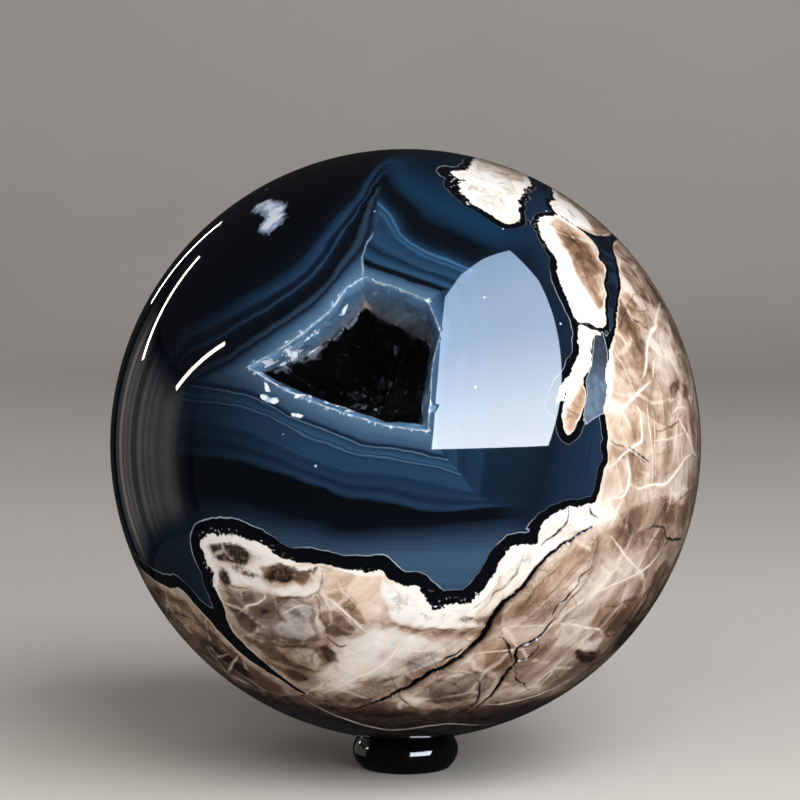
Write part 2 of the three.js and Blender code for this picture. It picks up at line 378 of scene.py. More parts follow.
ball = bmesh.new()
bmesh.ops.create_icosphere(ball, subdivisions=6, radius=RADIUS)
coast_tree, crack_tree, vein_tree, seam_tree, rim_tree = (
    drawing.tree() for drawing in (coast, cracks, veins, seams, rim))
fine_lines = (crack_tree, vein_tree, seam_tree)
all_lines = (coast_tree, crack_tree, vein_tree, rim_tree)
for reach, trees, in_wood in ((2.4, all_lines, True), (1.1, all_lines, True), (0.42, fine_lines, False)):
    middles = [(edge.verts[0].co + edge.verts[1].co) / 2 for edge in ball.edges]
    sides = coast.measure(middles)[1]
    near = []
    for edge, middle, side in zip(ball.edges, middles, sides):
        front_wood = in_wood and side > 0 and middle.y < FRONT
        flaked = (middle - FLAKED).length < FLAKED_REACH
        if front_wood or flaked or any(tree.find(middle)[2] < reach * MM for tree in trees):
            near.append(edge)
    bmesh.ops.subdivide_edges(ball, edges=near, cuts=1, use_grid_fill=True)
    bmesh.ops.triangulate(ball, faces=[f for f in ball.faces if len(f.verts) > 3])
    for vertex in ball.verts:
        vertex.co = vertex.co.normalized() * RADIUS
    print(f"within {reach} mm of a line: {len(near)} edges cut, {len(ball.faces)} faces")

# %% [markdown]
# The open cracks are V-shaped grooves. Every vertex near a crack sinks towards the
# centre, deepest on the line itself.

# %% Sink the cracks
DEPTH_FOR_WIDTH = 1.1

for vertex in ball.verts:
    _, index, distance = crack_tree.find(vertex.co)
    half = cracks.widths[index] / 2
    if distance < half:
        deepest = DEPTH_FOR_WIDTH * cracks.widths[index]
        vertex.co -= vertex.co.normalized() * deepest * (1 - distance / half)
deepest_place = min(vertex.co.length for vertex in ball.verts)
print(f"cracks are sunk, the deepest by {(RADIUS - deepest_place) / MM:.2f} mm")

# %% [markdown]
# A cutter in the cavity's shape is easiest to build from the outside in. One face with
# fifteen corners starts just above the skin and is extruded level by level, and each
# level's new corners are put where the list says. Cutting its sides into smaller pieces
# and shaking them a little gives the broken walls their facets.

# %% The cavity's cutter
CUTTER_RISE, RIM_RISE = 3 * MM, 0.05 * MM
SHAKE_BELOW, LEAST_SHAKE, SHAKE_FOR_DEPTH, SHAKE_SCALE = 0.3 * MM, 0.3 * MM, 0.03, 700


def level(share, depth):
    """The corners at one depth, drawn in from the throat towards the middle."""
    return [toward(*towards_middle(place, share)) * (RADIUS - depth * MM) for _, place, _ in CAVITY]


levels = [[toward(*place) * (RADIUS + rise) for place, _, _ in CAVITY] for rise in (CUTTER_RISE, RIM_RISE)]
levels.append([toward(*place) * (RADIUS - depth * MM) for _, place, depth in CAVITY])
levels += [level(share, depth) for share, depth in FLIGHTS]

cutter = bmesh.new()
ends = [cutter.verts.new(p) for p in levels[0]]
face = cutter.faces.new(ends)
for corners in levels[1:]:
    last = face
    made = bmesh.ops.extrude_face_region(cutter, geom=[last], use_keep_orig=True)["geom"]
    face = next(g for g in made if isinstance(g, bmesh.types.BMFace))
    if corners is not levels[1]:
        bmesh.ops.delete(cutter, geom=[last], context="FACES_ONLY")
    below = {}
    for vertex in face.verts:
        above = next(e.other_vert(vertex) for e in vertex.link_edges if e.other_vert(vertex) in ends)
        below[ends.index(above)] = vertex
    ends = [below[i] for i in range(len(corners))]
    for vertex, corner in zip(ends, corners):
        vertex.co = corner
bmesh.ops.subdivide_edges(cutter, edges=cutter.edges[:], cuts=3, use_grid_fill=True)
bmesh.ops.triangulate(cutter, faces=cutter.faces[:])
for vertex in cutter.verts:
    depth = RADIUS - vertex.co.length
    if depth > SHAKE_BELOW:
        shake = LEAST_SHAKE + SHAKE_FOR_DEPTH * depth
        vertex.co += shake * noise.noise_vector(vertex.co * SHAKE_SCALE)
bmesh.ops.recalc_face_normals(cutter, faces=cutter.faces[:])
print(len(cutter.faces), "faces on the cutter, volume", round(cutter.calc_volume() / MM**3), "mm3")

# %% [markdown]
# Stone breaks in small curved scoops along a thin edge. Each scoop is a flattened
# icosphere whose lowest part dips a few tenths of a millimetre into the skin. They are
# scattered along the rim with a seeded random generator, more along the upper left and
# the lower edge, where the stone has suffered most.

# %% Scoops along the rim
SCOOP_CHANCE = 0.11
FLATTENED = 0.55

chance = random.Random(7)
scoops = []
for place in rim.points:
    lon = degrees(atan2(place[0], -place[1]))
    lat = degrees(asin(place[2] / RADIUS))
    worn = 1.6 if lon < -9 and lat > 18 else 1.0 if lat < 18 else 0.3
    if chance.random() < SCOOP_CHANCE * worn:
        scoops.append((Vector(place), chance.uniform(0.5, 1.5) * MM, chance.uniform(0.12, 0.4) * MM))
print(len(scoops), "scoops")


def scoop(place, radius, dip):
    """A small rough blob that dips into the skin at a place."""
    made = bmesh.new()
    bmesh.ops.create_icosphere(made, subdivisions=1, radius=radius)
    up = place.normalized()
    turn = up.to_track_quat("Z", "Y").to_matrix() @ Matrix.Rotation(chance.uniform(0, 2 * pi), 3, "Z")
    flat = Matrix.Diagonal((chance.uniform(0.9, 1.7), 1, FLATTENED))
    aside = up.cross(Vector((0, 0, 1))).normalized() * chance.uniform(-0.5, 0.5) * MM
    centre = (place + aside).normalized() * (RADIUS + FLATTENED * radius - dip)
    for vertex in made.verts:
        vertex.co = turn @ (flat @ vertex.co) * chance.uniform(0.85, 1.1) + centre
    return made


# %% [markdown]
# The cutting itself is Blender's Boolean modifier. Its Manifold solver is quick and exact
# when every piece is closed, as these are. The result is taken out of the modifier as a
# plain mesh.


# %% Cut the cavity and the scoops
def as_object(name, mesh_maker):
    mesh = bpy.data.meshes.new(name)
    mesh_maker.to_mesh(mesh)
    mesh_maker.free()
    made = bpy.data.objects.new(name, mesh)
    scene.collection.objects.link(made)
    return made


def carve(target, tools):
    """Takes every tool's shape out of the target."""
    group = bpy.data.collections.new("tools")
    for tool in tools:
        group.objects.link(tool)
    cut = target.modifiers.new("cut", "BOOLEAN")
    cut.operation, cut.solver = "DIFFERENCE", "MANIFOLD"
    cut.operand_type, cut.collection = "COLLECTION", group
    view = bpy.context.evaluated_depsgraph_get()
    result = bpy.data.meshes.new_from_object(target.evaluated_get(view))
    target.modifiers.clear()
    target.data = result
    for tool in tools:
        bpy.data.objects.remove(tool)
    bpy.data.collections.remove(group)


stone = as_object("polished_ball", ball)
tools = [as_object("cavity_cutter", cutter)]
tools += [as_object(f"scoop_{i}", scoop(*s)) for i, s in enumerate(scoops)]
carve(stone, tools)
print(len(stone.data.polygons), "faces after the cuts")

# %% [markdown]
# ## What each vertex knows
# The material needs to know how far every point is from the lines. We measure that once
# for each vertex and store it in named attributes, which the shader reads. Distances are
# stored in millimetres, because those numbers are easy to reason about in a shader.

# %% Bands of the agate, as guide lines
# Agate is laid down in layers parallel to the cavity's sides, so every side has its own
# set of bands. Each guide line gives the distance at which that band lies, and between
# two guides the distance runs evenly.
BANDS = {
    # above and left of the cavity
    "A": [
        (0, [(-40, 13.5), (-31, 19), (-26, 22.5), (-21, 26.5), (-17, 30), (-14, 34.5), (-11.5, 37),
            (-9.6, 38), (-5, 40)]),
        (4, [(-45, 15), (-36, 20), (-30, 24), (-25, 27.3), (-20, 31), (-17, 34.6), (-14.8, 38.4),
            (-12.5, 41.5), (-9, 46)]),
        (6, [(-46, 17), (-36, 21.6), (-30, 25.8), (-25, 29.3), (-20, 33.4), (-17, 37), (-15.2, 41),
            (-13.4, 46), (-11, 52)]),
        (9, [(-48, 21), (-38, 25.5), (-30, 30.6), (-25, 34.4), (-22, 37.5), (-20, 41), (-18.6, 45),
            (-16.6, 50), (-13.5, 56), (-9, 62)]),
        (12, [(-50, 24), (-40, 28), (-30, 34), (-27, 36), (-24, 38.6), (-22, 42), (-20.4, 46), (-18.8, 50),
            (-16.5, 54), (-12, 61), (-6, 68)]),
        (20, [(-60, 32), (-48, 36), (-40, 41), (-34, 48), (-31, 54), (-29, 60), (-26, 68), (-20, 76)]),
        (32, [(-80, 44), (-64, 48), (-56, 54), (-52, 62), (-50, 70), (-46, 80)]),
    ],
    # above and right of it
    "B": [
        (0, [(-16, 41), (-9.6, 37.8), (-7, 36.7), (-4, 35.6), (0, 34.3), (4, 32.6), (10, 29), (20, 22)]),
        (2.2, [(-17, 43.5), (-9.5, 39.6), (-6, 38.8), (-3, 37.8), (1, 36.6), (5, 35.2), (8, 34), (15, 30),
            (26, 22)]),
        (4, [(-18, 46), (-9.8, 41.4), (-7, 40.4), (-3, 39.1), (1, 37.9), (5, 36.5), (9, 35.2), (18, 31),
            (28, 25)]),
        (6.2, [(-18, 49), (-10, 43.6), (-6, 42), (0, 40), (6, 37.8), (12, 35.2), (22, 31), (30, 27)]),
        (9.5, [(-19, 56), (-9, 50.6), (-7, 49.3), (-5, 47.8), (-2, 46.1), (1, 44.6), (4, 43.2), (8, 41.8),
            (11, 40.7), (14, 39.4), (22, 36), (32, 33)]),
        (17, [(-20, 66), (-8, 60), (-2, 56), (5, 52), (10, 49.6), (15, 47.2), (20, 44.6), (25, 42.4),
            (34, 39)]),
        (30, [(-20, 82), (-5, 76), (8, 68), (18, 62), (28, 56), (36, 52), (46, 47)]),
    ],
    # below it
    "D": [
        (0, [(-45, 21), (-36, 20), (-31, 18.7), (-27, 17), (-22, 14.8), (-17, 13), (-12, 11.3), (-8, 10),
            (-4, 9.2), (0, 8.6), (4, 8.1), (9, 7), (20, 3)]),
        (3.3, [(-50, 16), (-40, 15.4), (-31, 14.4), (-28, 13.8), (-25, 12.4), (-22, 10.9), (-18, 10),
            (-14, 8.7), (-11, 7.2), (-8, 6.2), (-5, 5.8), (-2, 5.4), (0, 5), (3, 4.3), (9, 3), (20, 0)]),
        (6, [(-50, 12.4), (-40, 12.4), (-31, 11.8), (-25, 10.2), (-22, 8.9), (-19, 7.9), (-16, 6.9),
            (-13, 5.9), (-10, 4.8), (-8, 4.2), (-4, 3.8), (-1, 3.4), (3, 2.6), (9, 1), (20, -2)]),
        (9, [(-50, 8), (-40, 8), (-31, 7.4), (-25, 5.6), (-22, 4.2), (-19, 2.8), (-16, 2.4), (-13, 1.5),
            (-10, 0.6), (-5, 0.6), (0, 0), (5, -1.4), (12, -3), (22, -4)]),
        (14, [(-55, 1), (-40, 2.6), (-30, 2), (-27, 1.5), (-24, 0.9), (-21, -0.2), (-18, -0.8), (-15, -1.7),
            (-12, -3), (-10, -3.8), (-7, -3.9), (-4, -4.2), (-1, -5), (2, -5.8), (5, -6.2), (9, -6),
            (22, -5)]),
        (18, [(-60, -6), (-45, -5), (-30, -5.5), (-20, -8), (-12, -9.5), (-5, -9.2), (0, -8.8), (10, -7.8),
            (25, -6.6)]),
        (32, [(-60, -24), (-40, -22), (-20, -22), (0, -23), (12, -24), (30, -24)]),
    ],
    # right of it
    "C": [
        (0, [(4, 42), (4.9, 32.3), (6.9, 26), (5, 20), (4.6, 14), (4, 8), (3.5, -2)]),
        (6, [(11, 46), (12, 34), (13.4, 26), (12, 19), (10.6, 12), (10, 4), (9.5, -5)]),
        (14, [(20, 50), (21.5, 38), (22, 26), (21, 15), (19.5, 6), (18, 0), (17, -8)]),
        (24, [(31, 56), (33, 42), (33.5, 28), (31.5, 14), (28, 2), (25, -8)]),
        (36, [(44, 60), (47, 44), (47, 28), (44, 12), (40, -2), (36, -12)]),
    ],
}
SIDES = {  # lon and lat in the middle of the side, its lean, and which way is outwards
    "A": (-28, 36, 48, 1), "B": (4, 42, -25, 1), "D": (-12, 4, -14, -1), "C": (14, 20, -90, 1),
}
LEAST_GAP = 0.2  # degrees between two guides


def facing(ahead, lean=0.0):
    """The directions to the right and up for someone who looks at a place, with a lean."""
    level_right = Vector((0, 0, 1)).cross(ahead).normalized()
    turn = Matrix.Rotation(radians(lean), 3, ahead)
    return turn @ level_right, turn @ ahead.cross(level_right)


def band_distance(side, rows):
    """How far out from one side of the cavity each direction is, read off its guide lines."""
    lon, lat, lean, outwards = SIDES[side]
    ahead = toward(lon, lat)
    right, up = facing(ahead, lean)

    def flat(d):
        sideways = np.arctan2(d @ np.array(right), d @ np.array(ahead))
        return np.degrees(sideways), np.degrees(np.arcsin(np.clip(d @ np.array(up), -1, 1)))

    sideways, height = flat(rows)
    height = outwards * height
    lines = []
    for _, places in BANDS[side]:
        u, v = flat(directions(places))
        assert (np.diff(u) > 0).all(), (side, u)
        lines.append(outwards * np.interp(sideways, u, v))
    marks = [mark for mark, _ in BANDS[side]]
    distance = np.where(height < lines[0], height - lines[0], marks[-1] + height - lines[-1])
    for low_mark, high_mark, low_line, high_line in zip(marks, marks[1:], lines, lines[1:]):
        gap = np.maximum(high_line - low_line, LEAST_GAP)
        between = (height >= low_line) & (height < high_line)
        distance = np.where(between, low_mark + (high_mark - low_mark) * (height - low_line) / gap, distance)
    return distance


print({side: len(guides) for side, guides in BANDS.items()}, "guide lines")

# %% [markdown]
# Wood that has turned to stone is never one colour. We note where it is bleached almost
# white and where it is darker, as soft oval spots with a size, a lean and a strength. The
# wide dark spots low on the ball are partly darker stone and partly painted shade on the
# underside.

# %% Bleached places, dark places and painted shade: lon, lat, half width, half height, lean, strength
BLEACHED = [
    (4, -24, 9, 4.5, -5, 1.0), (14, -23, 6, 3, 40, 0.8), (24, -15, 7, 2.5, 25, 0.9),
    (32, -9, 6, 3.5, 8, 1.0), (39, -10, 3, 3.5, 0, 0.8), (-32, -19.5, 7, 1.6, -12, 0.7),
    (-23, -21.5, 6, 1.4, 8, 0.75), (-18, -17.5, 5, 1.4, 0, 0.5), (-36, -12.2, 7, 2.2, 0, 1.0),
    (-28, -13.4, 6, 1.8, -14, 1.0), (-41, -18, 2, 6, 0, 0.9), (-22.4, -15.6, 3, 1.2, 0, 0.7),
    (-8, -17.2, 6, 1.3, 0, 0.6), (-7, -33, 9, 4, 10, 0.5), (2, -32, 8, 2.4, -4, 0.45),
    (-12, -39, 8, 4, 30, 0.35), (38, -24, 9, 3, 10, 0.5), (42, -33, 8, 3, -15, 0.55),
    (30, -31, 5, 2, 0, 0.35), (60, 18, 6, 5, 20, 0.35), (50, -5, 9, 2, 0, 0.45), (64, -3, 9, 2, 12, 0.35),
    (58, -36, 3, 2.4, 0, 0.25), (40, 45, 2, 6, 5, 1.0), (43, 50, 5, 2, 0, 1.0), (38.5, 33, 1.8, 5, 0, 1.0),
    (41, 29, 4, 2, 0, 0.9), (36, 22, 3.5, 4.5, -35, 1.0), (31, 14, 2, 1.6, 0, 0.6), (40, 62, 20, 8, 5, 1.1),
    (70, 70, 35, 6, 0, 0.9), (62, 52, 8, 3, 20, 0.75), (80, 53, 16, 5, 0, 0.35), (42, 12, 3, 1.6, 10, 0.4),
    (43, 18, 2.4, 5, -20, 0.5), (48, 28, 3, 2, 40, 0.4), (20, -13.4, 2, 1.2, 0, 0.9),
]
STAINS_AND_SHADE = [
    (-34.6, -15.1, 5.8, 2.2, -5, 1.45), (-25, -18.4, 4.4, 2.2, 14, 0.95), (-37.6, -20.2, 1.8, 2.2, 0, 1.15),
    (-32.4, -18.5, 4.2, 1.3, -14, 0.95), (-19, -24.2, 6, 1.4, 0, 0.55), (-11, -24.5, 2.6, 3.4, 40, 0.6),
    (-29, -27, 5, 2.2, 10, 0.65), (-33, -31, 5, 4, 20, 0.35), (-24, -33.6, 8, 1.6, 0, 0.6),
    (-17, -36, 1.8, 3.5, 20, 0.75), (-13, -30, 4, 3, 20, 0.4), (-28, -41.5, 3.4, 2.4, -30, 0.55),
    (-3, -42.8, 5, 1.7, 10, 0.5), (-12, -43.5, 3, 1.1, 30, 0.6), (12, -47.5, 9, 2.8, -8, 0.55),
    (14, -27.5, 4.2, 1.2, -3, 0.7), (10, -30.2, 9, 0.9, -3, 0.6), (24, -40, 6, 3, 0, 0.3),
    (51, -39.8, 6.4, 1.0, -15, 0.9), (62, -26, 2, 4, -20, 0.6), (64, -33, 4, 2, 30, 0.5),
    (52, -27, 7, 0.8, 0, 0.5), (64, 12.6, 2, 1.2, 30, 0.75), (71, 12, 3, 1.4, 0, 0.6),
    (75, 15, 5, 3, 0, 0.6), (53, 5, 1.2, 5, 0, 0.4), (50, 6, 0.8, 4, 0, 0.4), (73, 7, 3, 1.6, 0, 0.5),
    (44, 5.5, 3, 1.4, 10, 0.4), (40, -2.5, 1.6, 1.6, 0, 0.5), (44, -11.6, 2.6, 0.9, 0, 0.6),
    (47, -12.8, 4, 1.0, 0, 0.35), (66, -9, 10, 3.5, 20, 0.35), (48, 30, 3, 2, 40, 0.3),
    (60, 28, 6, 2.6, -25, 0.5), (50, 40, 3.4, 3.4, 0, 0.5), (52, 44, 3, 2, 30, 0.4),
    # The wide dark spots low on the ball, below about latitude -50, are partly darker stone and partly painted
    # shade on the underside.
    (31, 11, 1.6, 2.6, 0, 0.35), (-20, -50, 9, 2.6, 15, 0.6), (-22, -53.5, 7, 1.8, 0, 0.9),
    (-5, -53, 10, 1.5, 10, 0.6), (-62, -42, 16, 5, 25, 0.5), (-52, -36, 8, 1.6, 28, 0.6),
    (-70, -30, 10, 2, -5, 0.4), (-58, -27.5, 8, 0.9, -6, 0.5), (0, -58, 26, 3.4, 3, 0.75),
    (-40, -56, 22, 3.4, 8, 0.6), (40, -57, 20, 3, 3, 0.55), (0, -70, 60, 3.4, 0, 0.5),
    (120, -62, 40, 4, 4, 0.4), (150, -30, 14, 6, 25, 0.5), (115, -5, 12, 5, -20, 0.45),
    (-160, -40, 12, 5, 10, 0.5), (-120, -45, 14, 4, -15, 0.5), (95, -35, 9, 4, -15, 0.4),
    (90, 20, 8, 4, 30, 0.4),
]
# Painted warm reflections on the cavity's walls, as soft spots.
WARM_REFLECTIONS = [  # on the cavity's walls
    (-9.2, 33.4, 0.9, 1.6, 0, 1.0), (-9.8, 30.2, 1.1, 1.7, 0, 0.75), (-5.2, 29.4, 1.6, 0.8, 20, 0.8),
]


def spots(places, rows):
    """The strongest soft spot at each direction."""
    strength = np.zeros(len(rows))
    for lon, lat, wide, tall, lean, force in places:
        ahead = toward(lon, lat)
        x, y = (np.degrees(np.arcsin(np.clip(rows @ np.array(axis), -1, 1))) for axis in facing(ahead, lean))
        fall = np.exp(-((x / wide) ** 2 + (y / tall) ** 2)) * (rows @ np.array(ahead) > 0)
        strength = np.maximum(strength, force * fall)
    return strength


print(len(BLEACHED), "bleached places,", len(STAINS_AND_SHADE), "stained ones,", len(WARM_REFLECTIONS), "on the walls")

# %% [markdown]
# The wood also has patches with a clear outline, where one part of the tree was replaced
# by a paler or a darker mineral than its neighbour. Each is a closed outline with a tone
# (1 is very pale, -1 very dark) and a warmth (1 is peach, -1 is grey). One wide patch below
# the long crack is painted shade, not mineral.

# %% Patches in the wood: tone, warmth, outline
PATCHES = [
    # the left-hand land
    (0.75, -0.3, [(-41, -12), (-35, -11), (-29, -12), (-24, -14.4), (-20, -15.2), (-20.6, -17.6),
        (-26, -17), (-28.6, -19.4), (-31, -21), (-36, -21.4), (-41, -20)]),
    (-1.4, 0.0, [(-28.2, -17.8), (-25.6, -17.2), (-23.3, -16.4), (-21.5, -17.6), (-23, -19.6),
        (-24.8, -20.2), (-27, -20.2)]),
    (-0.9, 0.2, [(-21, -16.4), (-18.4, -16.1), (-17, -17), (-18.6, -19.4), (-20, -20.6), (-21, -19)]),
    (0.6, 0.0, [(-30.4, -18.6), (-28.8, -19.6), (-27.4, -21.2), (-24, -21.4), (-20, -20.9), (-17.4, -19.2),
        (-16.6, -17.4), (-15.6, -18), (-16, -20.4), (-17.8, -22.2), (-21, -22.8), (-26.6, -22.8),
        (-30, -21.4)]),
    (-0.65, -0.5, [(-37.8, -22.6), (-32, -22.6), (-29.8, -23), (-25, -23.8), (-20.2, -23.6), (-18.2, -25),
        (-18.2, -28.8), (-17.8, -32.6), (-21, -33.2), (-27, -33.4), (-34, -33), (-38.2, -31), (-39, -27)]),
    (0.6, -0.2, [(-26.6, -24.6), (-22, -23.9), (-18.9, -24.8), (-19.4, -28), (-18.8, -31), (-22.4, -32.8),
        (-27.4, -33), (-28.6, -30.4), (-25.6, -28.2)]),
    (-0.7, -0.2, [(-24.4, -25.6), (-21.4, -25.4), (-21, -27.6), (-23.6, -27.8)]),
    (-0.9, 0.3, [(-17.8, -27.4), (-15.2, -25.7), (-13, -26.4), (-10.4, -29.2), (-11.2, -31.6),
        (-14.2, -31.2), (-16.8, -30.6)]),
    (0.3, 0.9, [(-15.6, -17), (-11, -17.4), (-7, -17.9), (-4.6, -18), (-4.2, -22), (-4.2, -26.8),
        (-8, -27.8), (-12.4, -25.4), (-16.2, -22.2)]),
    (-0.7, 0.3, [(-15.4, -21.8), (-12.4, -20.8), (-9.6, -24.6), (-8, -28.4), (-11.2, -27), (-13.6, -24.4)]),
    (0.95, -0.4, [(-4, -17.6), (-3, -19.2), (-0.5, -20.3), (2, -20.6), (3.5, -22.2), (4.6, -24.4),
        (6, -25.4), (8, -24.6), (11, -24.4), (14.7, -23), (14, -26.2), (15, -28.8), (8, -29.3), (2, -28.7),
        (-3, -26.9), (-4.2, -22)]),
    (-0.3, 0.5, [(-2.6, -27.8), (2, -29.3), (8, -29.8), (16.8, -29.6), (16, -31.6), (10, -32), (4, -31.2),
        (0, -29.8)]),
    (0.5, -0.4, [(-13.6, -31.6), (-8, -30.2), (-3, -29), (2, -31), (8, -33), (10, -35.6), (6, -38),
        (0, -40.6), (-6, -41.6), (-12, -41.4), (-16.4, -39.6), (-16.8, -35)]),
    (-0.7, 0.0, [(-38, -33.6), (-30, -34), (-22, -33.8), (-17.4, -34), (-17.6, -39), (-22, -41.4),
        (-28, -40.6), (-34, -38.2)]),
    (0.75, 0.0, [(-30.6, -34.8), (-20.4, -34.4), (-19.4, -38), (-22.6, -40.4), (-27.6, -39)]),
    (-0.8, 0.2, [(-19.4, -33.6), (-17.2, -33.4), (-16.2, -36), (-17, -38.8), (-18.4, -37.4)]),
    (-0.7, 0.5, [(-34, -40), (-28, -40.8), (-25.6, -43.4), (-28.6, -45), (-32, -43)]),
    (-0.45, -0.2, [(0.6, -36.6), (5, -35), (10.6, -34.4), (12.4, -35.8), (8, -39), (3, -41), (0, -39.6)]),
    (-0.6, -0.1, [(-12.4, -44.4), (-6, -42.8), (0, -41.6), (2, -42.8), (-3, -46), (-9, -48.6), (-14, -49.8),
        (-20, -50.8), (-21, -48.4), (-16, -46.2)]),
    (0.5, 0.2, [(-21, -44.4), (-14, -42.8), (-10, -42.4), (-14, -45.2), (-19, -47.2), (-25, -48.6),
        (-27, -47)]),
    # below and right of the long crack
    (-0.7, -0.4, [(5, -44.4), (9, -42.4), (14, -41), (20.6, -40.8), (23.4, -44), (22.6, -48), (16, -50.4),
        (8, -50.2), (2, -47.6)]),
    (0.5, 0.1, [(-1, -47.4), (4, -48.6), (9, -50.8), (15, -51.6), (6, -52.6), (-2, -50)]),
    (0.55, 0.0, [(19, -14.8), (24.4, -13.2), (31, -11.6), (30.6, -13.2), (25.8, -16.8), (22.4, -21),
        (19.4, -24.4), (17.4, -26.8), (13.6, -27.6), (13.4, -24.4)]),
    (-0.25, 0.5, [(33.6, -13), (30, -16.4), (27, -20), (23.4, -25), (22, -28), (26, -26), (30.4, -22),
        (35, -18.6), (38, -15)]),
    (-0.3, 0.6, [(19, -31), (23.4, -33), (25.4, -38), (25, -41), (18, -40.6), (13, -39.8), (15.6, -35)]),
    (0.25, -0.3, [(35, -17.6), (41, -15.6), (44, -18), (45, -21.4), (41, -24.4), (44, -26.4), (44, -31),
        (46, -34), (44, -36.8), (36, -35), (33, -31), (34, -25)]),
    (-0.2, 1.0, [(44.4, -27.4), (48, -27), (52.4, -27.4), (52.2, -34), (47, -32.8), (44.4, -31.6)]),
    (-0.4, 0.8, [(52.9, -27.2), (57, -26.8), (61, -28), (60.4, -33), (55, -34.6), (52.9, -34)]),
    (0.7, -0.2, [(44, -35), (48, -35.6), (52.6, -35.2), (52.6, -38.9), (48, -38.2), (44.4, -36.8)]),
    (-1.6, 0.0, [(44.6, -37.6), (48, -38.8), (53, -39.9), (57, -41.6), (54.6, -42), (50, -41.3),
        (46, -39.8)]),
    (-0.6, 0.2, [(61, -22), (66, -20), (75, -24), (78, -34), (72, -42), (64, -41), (61, -34), (63, -28)]),
    (0.1, -0.1, [(39, -7), (45, -5), (55, -4.6), (57, -8), (52, -11.6), (44, -11.4), (40, -10.4)]),
    (-0.35, 0.2, [(57, -8.2), (66, -8.6), (76, -6.2), (76, -13), (66, -14), (59, -11)]),
    # Painted shade: this wide patch darkens the lower right of the wood.
    (-0.4, 0.1, [(36, -10.4), (29, -14), (23, -21), (18.3, -26), (16, -32), (20, -40), (30, -46), (45, -48),
        (60, -46), (75, -38), (80, -25), (72, -10), (56, -6), (45, -8)]),
    # right of the agate
    (-0.1, 0.4, [(52.8, 8.4), (60, 7.8), (67, 9), (67.6, 5), (60, 4.4), (52.8, 4.4)]),
    (-0.1, 0.4, [(40.6, 9), (46, 10.6), (48.6, 9), (48.2, 5.2), (45.6, 4), (41, 5.6)]),
    (-0.45, 0.3, [(38.6, 5), (43.6, 3), (47, 2), (48.4, -2), (46, -2.6), (45, 1.4), (41, 2), (39.4, 0.4)]),
    (-0.6, 0.1, [(62, 37), (67, 40), (76, 40.6), (80, 28), (72, 29), (66, 29.6), (63, 32)]),
    (0.25, 0.1, [(41, 16), (44, 20), (50, 14.6), (58, 13), (70, 8), (70, 1), (58, -2), (46, -3), (39.6, 4),
        (40, 10)]),
    (-0.3, 0.2, [(44, 21), (46.6, 25.6), (51, 24.6), (56, 27), (57, 21), (52, 17), (46, 18)]),
    (-0.5, 0.4, [(46.6, 26), (50, 29.6), (54, 32), (58.6, 33.6), (60.4, 30), (55, 28), (51, 25)]),
    (-0.4, 0.2, [(60, 24), (68, 26.6), (78, 28), (80, 20), (72, 20), (64, 21)]),
    (0.15, -0.2, [(56, 20), (60, 22.6), (67, 24), (70, 18), (64, 14), (58, 14)]),
    (-0.6, 0.2, [(61.4, 12.4), (64, 13.4), (67, 11.4), (71, 11), (72, 13.4), (66, 14.8), (62, 14)]),
    # the islands
    (1.3, -0.4, [(38.4, 49), (42, 52), (46.6, 52), (45.4, 46), (44, 40), (43.6, 33), (45, 28), (42.4, 25.6),
        (38.6, 27), (37, 32), (38.4, 40)]),
    (-0.25, 0.6, [(46.2, 49.4), (50, 50.4), (54.6, 49), (57.4, 45), (54.6, 41), (52.4, 38.4), (49, 34.6),
        (46.6, 30.4), (45.2, 31.4), (45.6, 38), (47, 43)]),
    (-0.35, 0.1, [(47.4, 47.6), (50.6, 48), (53.6, 46.4), (51, 43.6), (48, 44.6)]),
    (1.2, -0.3, [(37.8, 27.4), (35, 21), (31, 16.6), (28, 11), (29, 8.6), (31.6, 12.4), (34.6, 15.4),
        (37.6, 18.6), (40.8, 24), (42.6, 24.8), (40.4, 26.4)]),
    (-0.25, 1.0, [(33.8, 11), (35.6, 14.2), (34.8, 16.6), (32.6, 13.4), (30.4, 9.6), (30.4, 6.6),
        (32.4, 7.6)]),
    (0.35, -1.0, [(22.4, 65.6), (26, 68), (34, 68), (42, 69), (50, 67), (50, 62.6), (44, 58), (38, 54),
        (32, 50.4), (27, 52.4), (22, 57), (21.6, 61)]),
    (1.0, -0.6, [(54.4, 53), (60, 55.8), (68, 57), (74, 55), (70, 50.6), (64, 47.4), (59, 49)]),
    # the left edge, outside the black strip
    (-0.7, 0.6, [(-104, -34), (-88, -29.6), (-76, -27.4), (-66, -25.4), (-54, -26.6), (-48, -33.6),
        (-42.4, -41), (-36, -47), (-38, -58), (-60, -54), (-76, -50), (-86, -42.6)]),
    (0.5, 0.4, [(-66, -28.6), (-58, -28.2), (-52, -31.6), (-47, -37), (-44, -41.6), (-47, -40.6),
        (-52, -36.8), (-58, -33.4), (-66, -32.4)]),
    (-0.7, 0.0, [(-53, -37), (-49.6, -38.4), (-46, -41.4), (-44, -46), (-47, -47), (-51, -43),
        (-53.6, -40)]),
    (0.5, 0.5, [(-80, -38), (-68, -40), (-58, -44), (-50, -48.4), (-54, -48.6), (-64, -46), (-80, -43)]),
]
# Patches of colour in the agate
LENS = [
    (43.6, 25.2), (43.2, 21.4), (41.8, 17), (40.8, 13), (40.2, 10.6), (36.4, 9.4), (34, 8), (34.8, 11.6),
    (36, 14), (36, 16.2), (38, 18.8), (39.8, 22.4), (41, 24.6),
]
MILKY = [
    (-59.3, 55.4), (-54, 56.9), (-44.7, 56.2), (-38.3, 52.4), (-38.4, 48.8), (-39.8, 46.3), (-44.6, 47.4),
    (-45.4, 50.4), (-49.3, 52.4), (-57.3, 53),
]
